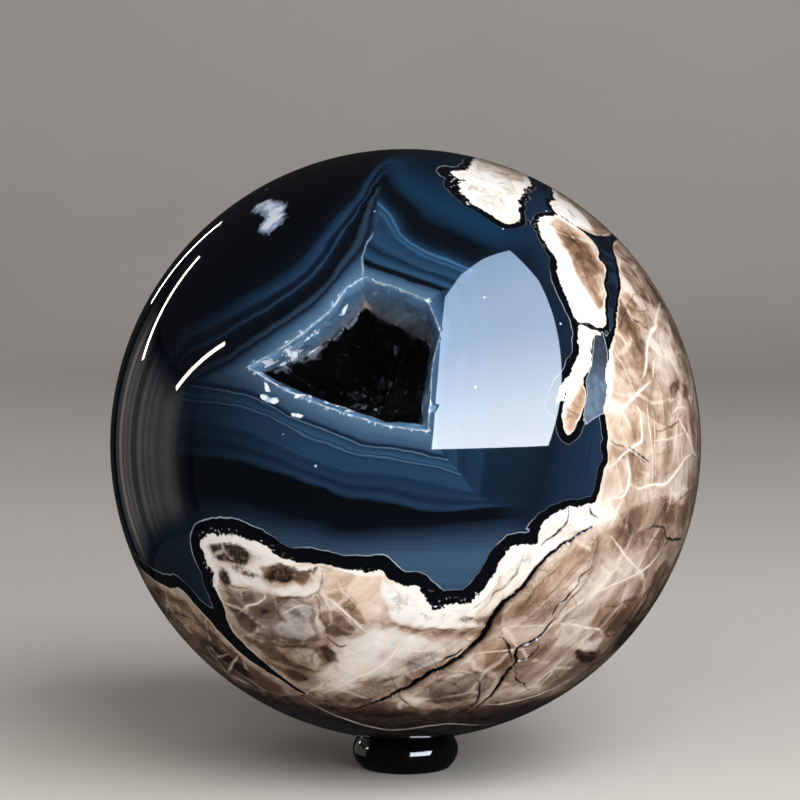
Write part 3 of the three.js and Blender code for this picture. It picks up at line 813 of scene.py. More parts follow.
# Pale flakes of broken stone below the cavity; their white is partly painted glint.
FLAKES = [
    [(-28, 14.3), (-26.4, 14.3), (-25.4, 13.7), (-23.9, 13.8), (-23.6, 13), (-24.6, 12.5), (-26.3, 12.8),
        (-27.4, 13.4)],
    [(-21.3, 11.2), (-19.8, 11.1), (-18.1, 10.6), (-19.2, 10.2), (-20.8, 10.5)],
    [(-27.2, 16.7), (-26.2, 15.8), (-25.5, 14.6), (-26.8, 14.7)],
]
HORIZON = 0.3  # a place this far round the ball from an outline's middle is out of its sight
FAR_AWAY = 99.0


def inside(places, rows):
    """How far inside a closed outline each direction is, in mm. Outside, it is negative."""
    ahead = Vector(directions(places).mean(axis=0)).normalized()
    right, up = facing(ahead)
    in_front = np.maximum(rows @ np.array(ahead), HORIZON)

    def flat(d, scale):
        return np.array([d @ np.array(right), d @ np.array(up)]).T / scale[:, None] * RADIUS / MM

    spot, corners = flat(rows, in_front), flat(directions(places), directions(places) @ np.array(ahead))
    nearest, within = np.full(len(rows), FAR_AWAY), np.zeros(len(rows), bool)
    for a, b in zip(corners, np.roll(corners, -1, axis=0)):
        edge = b - a
        t = np.clip((spot - a) @ edge / (edge @ edge), 0, 1)
        nearest = np.minimum(nearest, np.linalg.norm(spot - a - t[:, None] * edge, axis=1))
        beside = (a[1] > spot[:, 1]) != (b[1] > spot[:, 1])
        crossing = a[0] + (spot[:, 1] - a[1]) / (edge[1] if edge[1] else 1e-9) * edge[0]
        within ^= beside & (spot[:, 0] < crossing)
    return np.where(rows @ np.array(ahead) > HORIZON, np.where(within, nearest, -nearest), -FAR_AWAY)


print(len(PATCHES), "patches in the wood,", len(FLAKES), "flakes in the agate")

# %% Measure every vertex and store what it finds
LINE_LIMIT = 12  # in half widths of a line
OUTLINE_LIMIT = 5  # mm

stone.name = stone.data.name = "petrified_wood_sphere"
mesh = stone.data
corners = np.array([v.co for v in mesh.vertices])
rows = corners / np.linalg.norm(corners, axis=1)[:, None]
on_skin = [Vector(r) * RADIUS for r in rows]


def store(name, values):
    layer = mesh.attributes.new(name, "FLOAT", "POINT")
    layer.data.foreach_set("value", np.asarray(values, np.float32))
    print(f"{name:8} from {values.min():7.2f} to {values.max():7.2f}")


def outside(line):
    """How far outside a line round the cavity each vertex is, in mm. Inside, it is negative."""
    distance, side, _ = line.measure(on_skin)
    side_of_middle = line.measure([toward(*MIDDLE) * RADIUS])[1][0]
    return -distance * side * side_of_middle / MM


def near_outline(places):
    return np.clip(inside(places, rows), -OUTLINE_LIMIT, OUTLINE_LIMIT)


distance, side, _ = coast.measure(on_skin)
store("wood", distance * side / MM)
for name, drawing in (("vein", veins), ("crack", cracks), ("seam", seams)):
    distance, _, width = drawing.measure(on_skin)
    store(name, np.minimum(distance / (width / 2), LINE_LIMIT))
rim_distance = outside(rim)
store("rim", rim_distance)
store("throat", outside(throat_line))
for side in BANDS:
    store("band" + side, band_distance(side, rows))
bleached, stains_and_shade = spots(BLEACHED, rows), spots(STAINS_AND_SHADE, rows)
store("pale", bleached)
store("stain", stains_and_shade)
store("peach", spots(WARM_REFLECTIONS, rows))
store("lens", near_outline(LENS))
store("milky", near_outline(MILKY))
store("flake", np.max([near_outline(places) for places in FLAKES], axis=0))

# %% [markdown]
# The tone and the warmth of the wood are sums. Every spot and every patch adds its share,
# and a little noise frays the edges of the patches. Low down the wood gets darker, partly as
# darker stone and partly as painted shade on the underside.

# %% Add up the wood's tone and warmth
FRAYED, SOFTNESS = 0.9, 0.6  # mm, at the edge of a patch
DARK_BELOW, DARK_WITHIN, UNDERSIDE_DARK_AND_SHADE = -49, 9, 2.1  # latitude, degrees, tone

fray = np.array([noise.noise(Vector(p) * 260) + 0.6 * noise.noise(Vector(p) * 620) for p in on_skin])
tones, warmths = 0.8 * bleached - 0.5 * stains_and_shade, np.zeros(len(rows))
for amount, warm, places in PATCHES:
    share = np.clip(0.5 + (inside(places, rows) + FRAYED * fray) / SOFTNESS, 0, 1)
    tones += amount * share
    warmths += warm * share
# Painted shade: low on the ball the tone drops, partly darker stone and partly the shade of the underside.
latitude = np.degrees(np.arcsin(rows[:, 2])) + 1.5 * fray
tones -= UNDERSIDE_DARK_AND_SHADE * np.clip((DARK_BELOW - latitude) / DARK_WITHIN, 0, 1)
store("tone", tones)
store("warmth", warmths)

# %% [markdown]
# A polished skin shows every facet in its reflections. The skin's corners therefore get
# the exact direction away from the centre as their normal, while the broken walls keep
# the normals of their own facets.

# %% Exact normals on the polished skin
SKIN_DEPTH = 0.004 * MM
SMOOTH_BEYOND = 0.6  # mm outside the rim

# Sharp edges are looked for while every face is smooth, because each edge of a flat face
# would count as sharp. Only then are the faces of the broken walls made flat.
mesh.polygons.foreach_set("use_smooth", [True] * len(mesh.polygons))
mesh.set_sharp_from_angle(angle=radians(28))
polished = np.linalg.norm(corners, axis=1) > RADIUS - SKIN_DEPTH
normals, smooth = [], []
for polygon in mesh.polygons:
    on_the_skin = polished[list(polygon.vertices)].all()
    smooth.append(bool(on_the_skin or rim_distance[polygon.vertices[0]] > SMOOTH_BEYOND))
    for vertex in polygon.vertices:
        normals.append(rows[vertex] if on_the_skin else (0, 0, 0))
mesh.polygons.foreach_set("use_smooth", smooth)
mesh.normals_split_custom_set(normals)
for vertex in mesh.vertices:
    vertex.co += CENTRE
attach(stone, "root")
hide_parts("petrified_wood_ball")
print(len(mesh.polygons), "faces,", len(mesh.vertices), "vertices on the stone ball")

# %% [markdown]
# ## The ring
# The stand is a small ring turned from black stone: a domed side, a rounded lip that
# carries the ball, and a plain bore. It is a lathe shape, so we draw half of its section
# once and spin it round.

# %% Spin the ring
ring_low, ring_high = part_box("ring_stand")
RING_HEIGHT = ring_high.z - ring_low.z
BULGE_RADIUS = (ring_high.x - ring_low.x) / 2
FOOT_RADIUS, BORE_RADIUS, LIP_RADIUS, CHAMFER = 9.5 * MM, 7.9 * MM, 0.9 * MM, 0.4 * MM
LIP_START, LIP_END = 20, 180  # degrees round the lip, from the outside to the bore
CURVE_STEPS, TURN_STEPS = 16, 160


def on_lip(angle):
    return (BORE_RADIUS + LIP_RADIUS + LIP_RADIUS * cos(radians(angle)),
            RING_HEIGHT - LIP_RADIUS + LIP_RADIUS * sin(radians(angle)))


section = [(BORE_RADIUS, CHAMFER), (BORE_RADIUS + CHAMFER, 0), (FOOT_RADIUS - CHAMFER, 0)]
foot, lip = (FOOT_RADIUS, CHAMFER), on_lip(LIP_START)
pull = 2 * BULGE_RADIUS - (foot[0] + lip[0]) / 2  # makes the curve pass through the widest place
for i in range(CURVE_STEPS + 1):
    t = i / CURVE_STEPS
    section.append((foot[0] * (1 - t) ** 2 + 2 * t * (1 - t) * pull + lip[0] * t**2,
                    foot[1] * (1 - t) + lip[1] * t))
section += [on_lip(LIP_START + (LIP_END - LIP_START) * i / CURVE_STEPS) for i in range(1, CURVE_STEPS + 1)]

ring_maker = bmesh.new()
section_verts = [ring_maker.verts.new((x, 0, ring_low.z + z)) for x, z in section]
pairs = zip(section_verts, section_verts[1:] + section_verts[:1])
section_edges = [ring_maker.edges.new(pair) for pair in pairs]
bmesh.ops.spin(ring_maker, geom=section_verts + section_edges, axis=(0, 0, 1), cent=(0, 0, 0),
               steps=TURN_STEPS, angle=2 * pi, use_merge=True)
bmesh.ops.remove_doubles(ring_maker, verts=ring_maker.verts[:], dist=1e-6)
bmesh.ops.recalc_face_normals(ring_maker, faces=ring_maker.faces[:])
for f in ring_maker.faces:
    f.smooth = True
widest = max(v.co.x for v in ring_maker.verts)
print(f"ring: {len(ring_maker.faces)} faces, widest radius {widest / MM:.2f} mm of {BULGE_RADIUS / MM:.2f}, "
      f"open edges {sum(not e.is_manifold for e in ring_maker.edges)}")
ring = as_object("black_ring_stand", ring_maker)
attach(ring, "root")
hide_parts("ring_stand")

# %% [markdown]
# ## Shader sums that read like sums
# A material is a network of nodes, and a long one is hard to read as a list of links. One
# small class wraps a socket, so that adding or multiplying two values adds the Math node
# for us, and a value can be asked for a smooth step or a colour for a coat of another.
# Every other node comes from the one method `node`.


# %% A socket that can be calculated with
class Value:
    """An output socket of a finish. Sums on it add Math nodes."""

    def __init__(self, finish, socket):
        self.finish, self.socket = finish, socket

    def math(self, operation, first, second=None):
        sockets = {0: first} if second is None else {0: first, 1: second}
        return self.finish.node("Math", {"operation": operation}, sockets)

    def __add__(self, other):
        return self.math("ADD", self, other)

    def __sub__(self, other):
        return self.math("SUBTRACT", self, other)

    def __rsub__(self, other):
        return self.math("SUBTRACT", other, self)

    def __mul__(self, other):
        return self.math("MULTIPLY", self, other)

    def __truediv__(self, other):
        return self.math("DIVIDE", self, other)

    def __abs__(self):
        return self.math("ABSOLUTE", self)

    def most(self, other):
        return self.math("MAXIMUM", self, other)

    def least(self, other):
        return self.math("MINIMUM", self, other)

    __radd__, __rmul__ = __add__, __mul__

    def step(self, low, high, start=0.0, end=1.0):
        """Goes smoothly from start to end while this value goes from low to high."""
        return self.finish.node("MapRange", {"interpolation_type": "SMOOTHSTEP"},
                                {0: self, 1: low, 2: high, 3: start, 4: end})

    def covered(self, share, colour):
        """This colour where share is 0, the other one where it is 1."""
        return self.finish.mix(share, self, colour)

    def tinted(self, colour):
        """This colour seen through a coloured glass."""
        return self.finish.node("Mix", {"data_type": "RGBA", "blend_type": "MULTIPLY"},
                                {0: 1.0, 6: self, 7: colour}, output=2)


def paint(red, green, blue):
    """A colour, 0 to 255, as the shader's linear values."""
    shares = (c / 255 for c in (red, green, blue))
    return tuple(c / 12.92 if c <= 0.04045 else ((c + 0.055) / 1.055) ** 2.4 for c in shares) + (1.0,)


# %% A material under construction
class Finish:
    """A material under construction."""

    def __init__(self, name):
        self.material = bpy.data.materials.new(name)
        self.material.use_nodes = True
        self.tree = self.material.node_tree
        self.tree.nodes.clear()

    def node(self, kind, settings=None, sockets=None, output=0):
        """Any node: its type, its settings first, then the values or links of its sockets."""
        made = self.tree.nodes.new("ShaderNode" + kind)
        for key, value in (settings or {}).items():
            if key == "stops":
                band = made.color_ramp
                while len(band.elements) < len(value):
                    band.elements.new(1.0)
                for element, (position, colour) in zip(band.elements, value):
                    element.position, element.color = position, colour
            else:
                setattr(made, key, value)
        for key, value in (sockets or {}).items():
            if isinstance(value, Value):
                self.tree.links.new(value.socket, made.inputs[key])
            else:
                made.inputs[key].default_value = value
        return Value(self, made.outputs[output])

    def attribute(self, name):
        return self.node("Attribute", {"attribute_name": name}, output="Fac")

    def place(self, start=None):
        """Object coordinates, counted from a point if one is given."""
        here = self.node("TexCoord", output="Object")
        if start is None:
            return here
        return self.node("VectorMath", {"operation": "SUBTRACT"}, {0: here, 1: tuple(start)})

    def parts(self, where):
        """The three coordinates of a place."""
        return [self.node("SeparateXYZ", None, {0: where}, output=i) for i in range(3)]

    def mix(self, share, first, second):
        """The first colour where share is 0, the second where it is 1."""
        return self.node("Mix", {"data_type": "RGBA"}, {0: share, 6: first, 7: second}, output=2)

    def ramp(self, value, stops):
        return self.node("ValToRGB", {"stops": stops}, {0: value})

    def cloud(self, where, scale, detail=3.0, rough=0.5, warp=0.0):
        """Soft noise from 0 to 1. The scale counts features in a metre."""
        return self.node("TexNoise", None, {"Vector": where, "Scale": scale, "Detail": detail,
                                            "Roughness": rough, "Distortion": warp})

    def stripes(self, value, scale, detail, rough=0.5):
        """Noise that only changes along one value."""
        return self.node("TexNoise", {"noise_dimensions": "1D"},
                         {"W": value, "Scale": scale, "Detail": detail, "Roughness": rough})

    def cells(self, where, scale, feature="F1", output="Distance"):
        """Cells round scattered points: the distance to a point or an edge, or a chance colour."""
        return self.node("TexVoronoi", {"feature": feature}, {"Vector": where, "Scale": scale}, output=output)

    def chance(self, where, scale):
        """One chance value from 0 to 1 for each cell."""
        return self.node("SeparateColor", None, {0: self.cells(where, scale, output="Color")})

    def surface(self, colour, roughness, bump=None, **constants):
        """Ends the material in one Principled shader."""
        sockets = {"Base Color": colour, "Roughness": roughness}
        if bump is not None:
            sockets["Normal"] = self.node("Bump", None, {"Height": bump, "Strength": 0.6, "Distance": 0.0004})
        sockets.update({key.replace("_", " "): value for key, value in constants.items()})
        shader = self.node("BsdfPrincipled", None, sockets)
        self.tree.links.new(shader.socket, self.tree.nodes.new("ShaderNodeOutputMaterial").inputs[0])


POLISH = {"Coat_Weight": 1.0, "Coat_Roughness": 0.02, "Coat_IOR": 1.7}
BLACK = paint(0, 0, 0)

# %% [markdown]
# ## The agate
# Light falls a little way into agate before it comes back, so a band can go from black to
# pale blue within a millimetre. Each side of the cavity gets one colour ramp over the
# band distance. Where two sides meet, the larger distance wins, which mitres the bands
# just as they grow.

# %% The colours of the bands, by distance in mm from the cavity's edge
REACH = 34.0
BAND_COLOURS = {
    "A": [
        (0, (80, 110, 140)), (1.2, (64, 94, 124)), (2.6, (46, 73, 100)), (3.5, (27, 45, 66)),
        (4.0, (10, 18, 30)), (4.7, (38, 56, 76)), (5.4, (36, 53, 72)), (6.0, (8, 14, 22)),
        (7.2, (7, 12, 20)), (8.4, (12, 24, 38)), (8.9, (36, 62, 90)), (9.5, (12, 24, 38)),
        (10.8, (12, 26, 42)), (11.8, (31, 57, 85)), (12.8, (24, 47, 72)), (14.2, (9, 17, 27)),
        (17, (5, 8, 13)), (34, (5, 8, 13)),
    ],
    "B": [
        (0, (84, 112, 140)), (1.2, (64, 90, 118)), (2.0, (46, 70, 96)), (2.5, (8, 13, 20)),
        (3.5, (9, 15, 24)), (4.2, (38, 68, 98)), (5.4, (30, 56, 84)), (6.1, (15, 32, 50)),
        (6.9, (34, 62, 90)), (8.2, (26, 50, 76)), (8.8, (44, 80, 114)), (9.15, (24, 48, 72)),
        (9.5, (58, 100, 138)), (9.95, (24, 48, 72)), (11.2, (14, 26, 40)), (13, (7, 12, 19)),
        (16.2, (7, 12, 19)), (18.4, (14, 36, 58)), (22, (18, 47, 74)), (29, (14, 37, 58)),
        (34, (11, 26, 42)),
    ],
    "C": [
        (0, (66, 96, 128)), (1.2, (46, 74, 104)), (2.6, (24, 46, 70)), (5, (30, 54, 80)), (6, (20, 40, 62)),
        (9, (24, 46, 70)), (10, (16, 32, 50)), (16, (16, 30, 46)), (22, (14, 25, 39)), (28, (22, 38, 58)),
        (34, (28, 48, 70)),
    ],
    "D": [
        (0, (80, 108, 136)), (1.2, (64, 90, 118)), (2.7, (48, 73, 100)), (3.2, (16, 30, 47)),
        (3.6, (22, 42, 65)), (3.8, (92, 116, 138)), (4.0, (24, 48, 72)), (5.4, (42, 72, 102)),
        (5.8, (26, 50, 76)), (6.0, (74, 98, 122)), (6.2, (30, 54, 80)), (8.4, (33, 59, 86)),
        (9.3, (20, 41, 64)), (10.4, (28, 51, 76)), (11.8, (17, 33, 53)), (13.1, (30, 52, 78)),
        (13.8, (20, 38, 58)), (14.05, (6, 9, 14)), (17.6, (7, 11, 18)), (19.4, (26, 41, 60)),
        (24, (58, 84, 112)), (34, (50, 78, 106)),
    ],
}

# %% Mix the agate's bands
finish = Finish("agate_and_petrified_wood")
place = finish.place(CENTRE)
across, backward, height = finish.parts(place)
depth = (RADIUS - finish.node("VectorMath", {"operation": "LENGTH"}, {0: place}, output="Value")) / MM


def sway(amount, scale, detail, rough=0.5):
    """Noise that swings to both sides of zero, by up to half the amount."""
    return (finish.cloud(place, scale, detail, rough) - 0.5) * amount


waver, ripple = sway(1.1, 130, 2), sway(0.28, 700, 2)
# Sides A and B meet in a mitre above the cavity. Side A grew faster, which bends the mitre
# to the right, and near it the bands of both sides rise, as growth was fastest in the corner.
side_a, side_b = finish.attribute("bandA"), finish.attribute("bandB")
mitre = side_b - (side_a * 1.3 + (side_a - 3).most(0.0).least(2.5) * 1.5)
lift = abs(mitre).step(12, 0) * side_b.step(4, 17) * 5.0
crease = abs(mitre).step(0.45, 0.1) * side_b.step(8.6, 7.6) * side_b.step(-0.4, 0.0)
agate, furthest = None, None
for side, colours in BAND_COLOURS.items():
    far = finish.attribute("band" + side)
    risen = far - lift if side in "AB" else far
    band = finish.ramp((risen + waver + ripple) / REACH, [(mark / REACH, paint(*c)) for mark, c in colours])
    if agate is None:
        agate, furthest = band, far
    else:
        # The mitre is sharp near the cavity and melts away further out.
        blur = furthest.step(6, 20, 0.06, 7.0)
        lead = mitre if side == "B" else far - furthest
        agate, furthest = agate.covered(lead.step(0.0 - blur, blur), band), furthest.most(far)

# %% [markdown]
# Far from the cavity the bands fade. The left of the stone is a near-black agate towards
# the front. Round the back we keep the bands broad and dim, and bend them round one eye,
# a shape that agate often has.

# %% The dark left, the back, the crease and the fine laminations
EYE = toward(162, 24) * RADIUS * 0.9

behind = backward.step(0.0, 0.024)
agate = agate.covered(across.step(-0.044, -0.016, 0.85, 0.0) * (1.0 - behind), paint(7, 11, 18))
agate = agate.covered(crease * 0.55, paint(150, 176, 204))
from_eye = finish.node("VectorMath", {"operation": "DISTANCE"}, {0: place, 1: tuple(EYE)}, output="Value") / MM
broad = finish.stripes((from_eye + sway(22.0, 40, 2) + waver) * 0.24, 1.0, 3.0, 0.6)
agate = agate.covered(behind * broad.step(0.42, 0.66, 0.0, 0.9), paint(34, 60, 90))
lamina = finish.stripes(furthest + waver, 2.4, 4.0, 0.65)
agate = agate.covered(lamina.step(0.42, 0.75, 0.0, 0.35), agate.tinted(paint(120, 130, 140)))
print(len(finish.tree.nodes), "nodes in the agate")

# %% [markdown]
# The black layer and the fine pale line follow the wood everywhere, so they only need
# the distance to the wood. Both are thinner beside the right-hand islands. The narrow gap
# between those islands and the wood is all dark blue.

# %% The black layer and its pale outline
wood_edge, pale = finish.attribute("wood"), finish.attribute("pale")
teeth = (sway(2.8, 1000, 4, 0.7) + sway(1.6, 300, 2)) * (pale * 0.9 + 0.3)
wood_line = wood_edge + teeth
right_hand = across.step(0.012, 0.034)
high_up = height.step(0.036, 0.044) * across.step(0.006, 0.014)
gap = across.step(0.034, 0.037) * height.step(0.024, 0.027)
thinning = right_hand * 0.9 + high_up * 0.9 + gap * 1.6 + 1.0
outline = (wood_edge + sway(1.6, 300, 3)) * thinning
murk = finish.cloud(place, 230, 3, 0.5, 1.0).step(0.58, 0.46, 0.1, 0.85)
agate = agate.covered(gap * murk, paint(8, 13, 22))
agate = agate.covered(outline.step(-3.5, -2.7), paint(5, 8, 13))
broken = finish.cloud(place, 90, 2).step(0.38, 0.6, 0.15, 0.9)
pale_line = abs(outline + 3.0).step(0.16, 0.04) * broken * (1.0 - gap * 0.85) * (1.0 - high_up * 0.7)
agate = agate.covered(pale_line, paint(170, 182, 196))

# %% [markdown]
# A few places in the agate have a colour of their own: a silky grey-blue wedge beside the
# tongue of wood, a milky cloud at the upper left, white grains where the black layer
# meets bleached wood, and here and there a tiny pale speck.


# %% The wedge, the milky cloud, the grains and the specks
def along(axis, stretch):
    """The place, squeezed along one axis, so that noise on it makes fibres that run that way."""
    turn = Vector(axis).to_track_quat("Z", "Y").to_euler()
    return finish.node("Mapping", {"vector_type": "TEXTURE"},
                       {"Vector": place, "Rotation": turn, "Scale": (1.0, 1.0, stretch)})


lens = finish.attribute("lens") + sway(0.5, 800, 3, 0.6)
silk = finish.cloud(along((0.35, -0.2, 0.92), 9.0), 700, 3, 0.6, 0.4)
lens_top = (height + (silk - 0.5) * 0.006).step(0.0145, 0.0215)
lens_colour = finish.mix(lens_top, paint(98, 116, 138), paint(50, 56, 66))
lens_colour = lens_colour.covered(silk.step(0.4, 0.62, 0.0, 0.5), paint(62, 76, 96))
agate = agate.covered(lens.step(0.0, 0.2), lens_colour)
agate = agate.covered(abs(lens).step(0.14, 0.02, 0.0, 0.8), paint(178, 190, 202))
milky = finish.attribute("milky") + sway(5.0, 420, 4, 0.7) + 0.3
agate = agate.covered(milky.step(-0.1, 0.9, 0.0, 0.9), paint(130, 152, 180))
agate = agate.covered(milky.step(0.9, 1.8), paint(205, 216, 230))
grains = ((1.0 - right_hand) * finish.cloud(place, 1500, 3, 0.6).step(0.6, 0.66)
          * wood_edge.step(-2.2, -0.6) * pale.step(0.4, 0.7))
agate = agate.covered(grains, paint(250, 248, 244))
agate = agate.covered(finish.cells(place, 150.0).step(0.045, 0.025), paint(190, 205, 220))

# %% [markdown]
# ## The wood
# The wood is beige stone with tan and brown clouds. Its fibres and streaks still run the
# way the tree grew. A web of cells, each a little paler or darker than the next, shows
# where the stone shrank and healed.

# %% The wood's body
upright, leaning = along((0.3, -0.2, 0.93), 7.0), along((0.75, -0.24, 0.61), 7.0)
low_down = height.step(-0.004, -0.02)
WEB, FINE_WEB = 62.0, 105.0  # cells in a metre


def grown(*settings):
    """Noise drawn out along the tree, which leans over low down on the ball."""
    upper, lower = finish.cloud(upright, *settings), finish.cloud(leaning, *settings)
    return upper + (lower - upper) * low_down


fibre, streak = grown(420, 5, 0.65, 0.3), grown(130, 4, 0.6, 0.6)
swirl = finish.node("TexNoise", None, {"Vector": place, "Scale": 70.0, "Detail": 3.0}, output="Color")
swirl = finish.node("VectorMath", {"operation": "MULTIPLY_ADD"}, {0: swirl, 1: (0.008,) * 3, 2: place})
clouds = finish.cloud(swirl, 85, 6, 0.62, 0.8)
panes = 0.0
for scale, share in ((WEB, 0.16), (FINE_WEB, 0.11)):
    panes = (finish.chance(swirl, scale) - 0.5) * share + panes
tone, warmth = finish.attribute("tone"), finish.attribute("warmth")
shade = panes + tone * 0.3 + clouds * 0.62 + streak * 0.6 + fibre * 0.42 - 0.26
wood = finish.ramp(shade, [
    (0.0, paint(26, 18, 14)), (0.16, paint(62, 46, 37)), (0.32, paint(112, 90, 74)),
    (0.47, paint(162, 138, 121)), (0.6, paint(202, 182, 167)), (0.74, paint(230, 216, 206)),
    (0.88, paint(246, 240, 233)), (1.0, paint(254, 252, 250))])
grey = finish.node("RGBToBW", None, {0: wood})
wood = wood.covered(warmth.step(0.0, -1.0, 0.0, 0.7), grey)
wood = wood.covered(warmth.step(0.0, 1.0), wood.tinted(paint(255, 244, 234)))
smoke = abs(finish.cloud(swirl, 170, 4, 0.6, 1.0) - 0.5).step(0.04, 0.0, 0.0, 0.55)
wood = wood.covered(smoke * clouds.step(0.56, 0.42) * tone.step(0.3, -0.2), paint(104, 80, 64))

# %% [markdown]
# Stains, with painted shade low on the ball, and bleached places lie over the body. Then
# come the pale veins, and the cracks come last, because a crack cuts through all that was
# there before it.

# %% Stains and painted shade, healed webs and seams
ragged = sway(0.9, 330, 5, 0.7)
stain = finish.attribute("stain")
crumbs = finish.cloud(place, 900, 4, 0.7)
crust = finish.mix(crumbs.step(0.48, 0.66), paint(30, 22, 17), paint(112, 92, 77))
speckled = stain + ragged * 1.7 + (crumbs - 0.5) * pale.step(0.2, 0.6, 0.0, 1.5)
# Dark spots: stains, and low on the ball painted shade of the underside as well.
wood = wood.covered((stain + ragged * 1.3).step(0.4, 0.75, 0.0, 0.5), paint(88, 68, 54))
wood = wood.covered(speckled.step(0.6, 0.85, 0.0, 0.95), crust)
web = finish.cells(swirl, WEB, "DISTANCE_TO_EDGE").step(0.04, 0.004, 0.0, 0.55)
wood = wood.covered(web * streak.step(0.44, 0.56) * tone.step(-1.5, -0.5), paint(250, 234, 218))
hair = finish.cells(swirl, FINE_WEB, "DISTANCE_TO_EDGE").step(0.02, 0.005, 0.0, 0.5)
wood = wood.covered(hair * clouds.step(0.56, 0.45) * tone.step(0.6, -0.1), paint(74, 52, 40))
seam = finish.attribute("seam") + (fibre - 0.5) * 2.0
wood = wood.covered(seam.step(2.6, 0.8, 0.0, 0.4), paint(110, 78, 58))
wood = wood.covered(seam.step(1.0, 0.4, 0.0, 0.8), paint(58, 38, 28))

# %% The bleached fringe, the veins and the cracks
fringe_width = finish.cloud(place, 130, 3) * (pale * 4.0 + 1.4) - 0.6
fringe = (wood_line - fringe_width + ragged * 1.4).step(0.4, -0.1)
mottle = finish.cloud(place, 330, 5, 0.75, 0.6)
wood = wood.covered(pale.step(0.35, 0.8) * mottle.step(0.5, 0.38, 0.0, 0.6), paint(158, 140, 127))
wood = wood.covered(fringe, finish.mix(pale.step(0.1, 0.5), paint(232, 214, 198), paint(254, 251, 247)))
vein = finish.attribute("vein")
wood = wood.covered(vein.step(2.4, 0.6, 0.0, 0.35), paint(240, 224, 208))
wood = wood.covered((vein + (fibre - 0.5) * 1.6).step(0.9, 0.3, 0.0, 0.95), paint(254, 246, 237))
crack = finish.attribute("crack")
wood = wood.covered(crack.step(2.4, 1.0, 0.0, 0.6), paint(96, 68, 50))
wood = wood.covered((crack + ragged * 0.5).step(1.1, 0.7), paint(14, 12, 12))
is_wood = wood_line.step(-0.06, 0.06)
stone_colour = agate.covered(is_wood, wood)
print(len(finish.tree.nodes), "nodes in the agate and the wood")

# %% [markdown]
# ## The broken walls
# The cavity's walls are blue near the skin, then grey, then nearly black, so a ramp over
# the depth colours them; the dark deep end is partly the stone's own colour and partly
# painted shade in the recess. Long chance-toned cells stand for the broken faces, some with
# painted glints. Inside the throat, where the wall drops away, the wall is painted near
# black, dark stone and painted shade together, and a painted highlight marks the throat.
# Small painted warm reflections sit on the upper walls. The skin is polished, and the walls
# are left as rough as they broke.

# %% Colour the cavity's walls and finish the stone
chips = finish.cloud(place, 380, 4, 0.7)
faces = finish.chance(along((0.79, 0.05, 0.6), 3.5), 850.0)
# Deeper down the walls turn nearly black: partly the stone's own colour, partly painted shade in the recess.
wall = finish.ramp(depth / 10.0 + (chips - 0.5) * 0.14, [
    (0.0, paint(112, 148, 182)), (0.08, paint(74, 110, 144)), (0.25, paint(60, 92, 124)),
    (0.45, paint(74, 88, 104)), (0.7, paint(74, 76, 84)), (1.0, paint(24, 22, 23))])
left_wall = across.step(-0.008, -0.012)
# Painted glints on some broken faces of the left wall, partly pale chips.
glints = faces.step(0.76, 0.8) * chips.step(0.47, 0.53) * depth.step(7, 5) * left_wall
wall = wall.covered(glints, paint(214, 226, 238))
wall = wall.covered(faces.step(0.3, 0.2, 0.0, 0.45) * left_wall, paint(34, 54, 78))
# Painted warm reflections on the upper walls.
wall = wall.covered(finish.attribute("peach").step(0.35, 0.6, 0.0, 0.85), paint(150, 126, 112))
throat = finish.attribute("throat")
# Inside the throat the wall is painted near black: dark stone and painted shade of the pit together.
wall = wall.covered((throat + (chips - 0.5) * 0.5).step(0.15, -0.15), paint(5, 5, 7))
# A painted highlight along the throat's edge.
throat_highlight = abs(throat + (chips - 0.5) * 0.3).step(0.13, 0.03) * chips.step(0.5, 0.6, 0.05, 0.85)
wall = wall.covered(throat_highlight * depth.step(10, 6), paint(150, 160, 172))
from_rim = finish.attribute("rim")
is_wall = depth.step(0.08, 0.2) * from_rim.step(1.6, 0.9)
stone_colour = stone_colour.covered(is_wall, wall)
# Pale flakes below the cavity: pale broken stone with painted glints in their whitest parts.
flake = finish.attribute("flake") + (chips - 0.5) * 0.5
flake_and_glint_colour = finish.mix(chips.step(0.42, 0.55), paint(120, 150, 180), paint(222, 232, 242))
stone_colour = stone_colour.covered(flake.step(0.0, 0.12), flake_and_glint_colour)
# A painted highlight along the rim's broken edge.
rim_highlight = abs(from_rim + (chips - 0.5) * 0.8).step(0.2, 0.03) * chips.step(0.36, 0.62, 0.1, 1.0)
stone_colour = stone_colour.covered(rim_highlight * 0.85, paint(205, 220, 235))
roughness = wood_line.step(-0.1, 0.1, 0.03, 0.14) + is_wall * 0.3
relief = (crack.step(0.2, 1.2) * 0.5 + fibre * is_wood * 0.05 + is_wall * chips * 0.6
          + fringe * is_wood * pale * crumbs * 0.5)
finish.surface(stone_colour, roughness, relief, IOR=1.55, **POLISH)
stone.data.materials.clear()
stone.data.materials.append(finish.material)
print(len(finish.tree.nodes), "nodes in the stone")

# %% The ring's black stone
black = Finish("black_gloss_stone")
grain = black.cloud(black.place(), 900, 4, 0.6)
colour = black.mix(grain.step(0.55, 0.8), paint(9, 9, 11), paint(34, 30, 28))
black.surface(colour, grain.step(0.3, 0.8, 0.04, 0.1), IOR=1.6, **POLISH)
ring.data.materials.append(black.material)

# %% [markdown]
# ## The studio
# The ball stands on a plain pale floor that sweeps up behind it and at the sides, as a
# roll of paper does. The floor is kept out of the polish, where its paleness would wash
# out the dark agate.

# %% A pale floor
HALF_FLOOR, SEGMENTS = 5.0, 120
SWEEP = 0.5  # radius of the bend
SIDE_START, BACK_START = 3.0, 1.0  # how far from the ball the bend begins

floor_maker = bmesh.new()
bmesh.ops.create_grid(floor_maker, x_segments=SEGMENTS, y_segments=SEGMENTS, size=HALF_FLOOR)


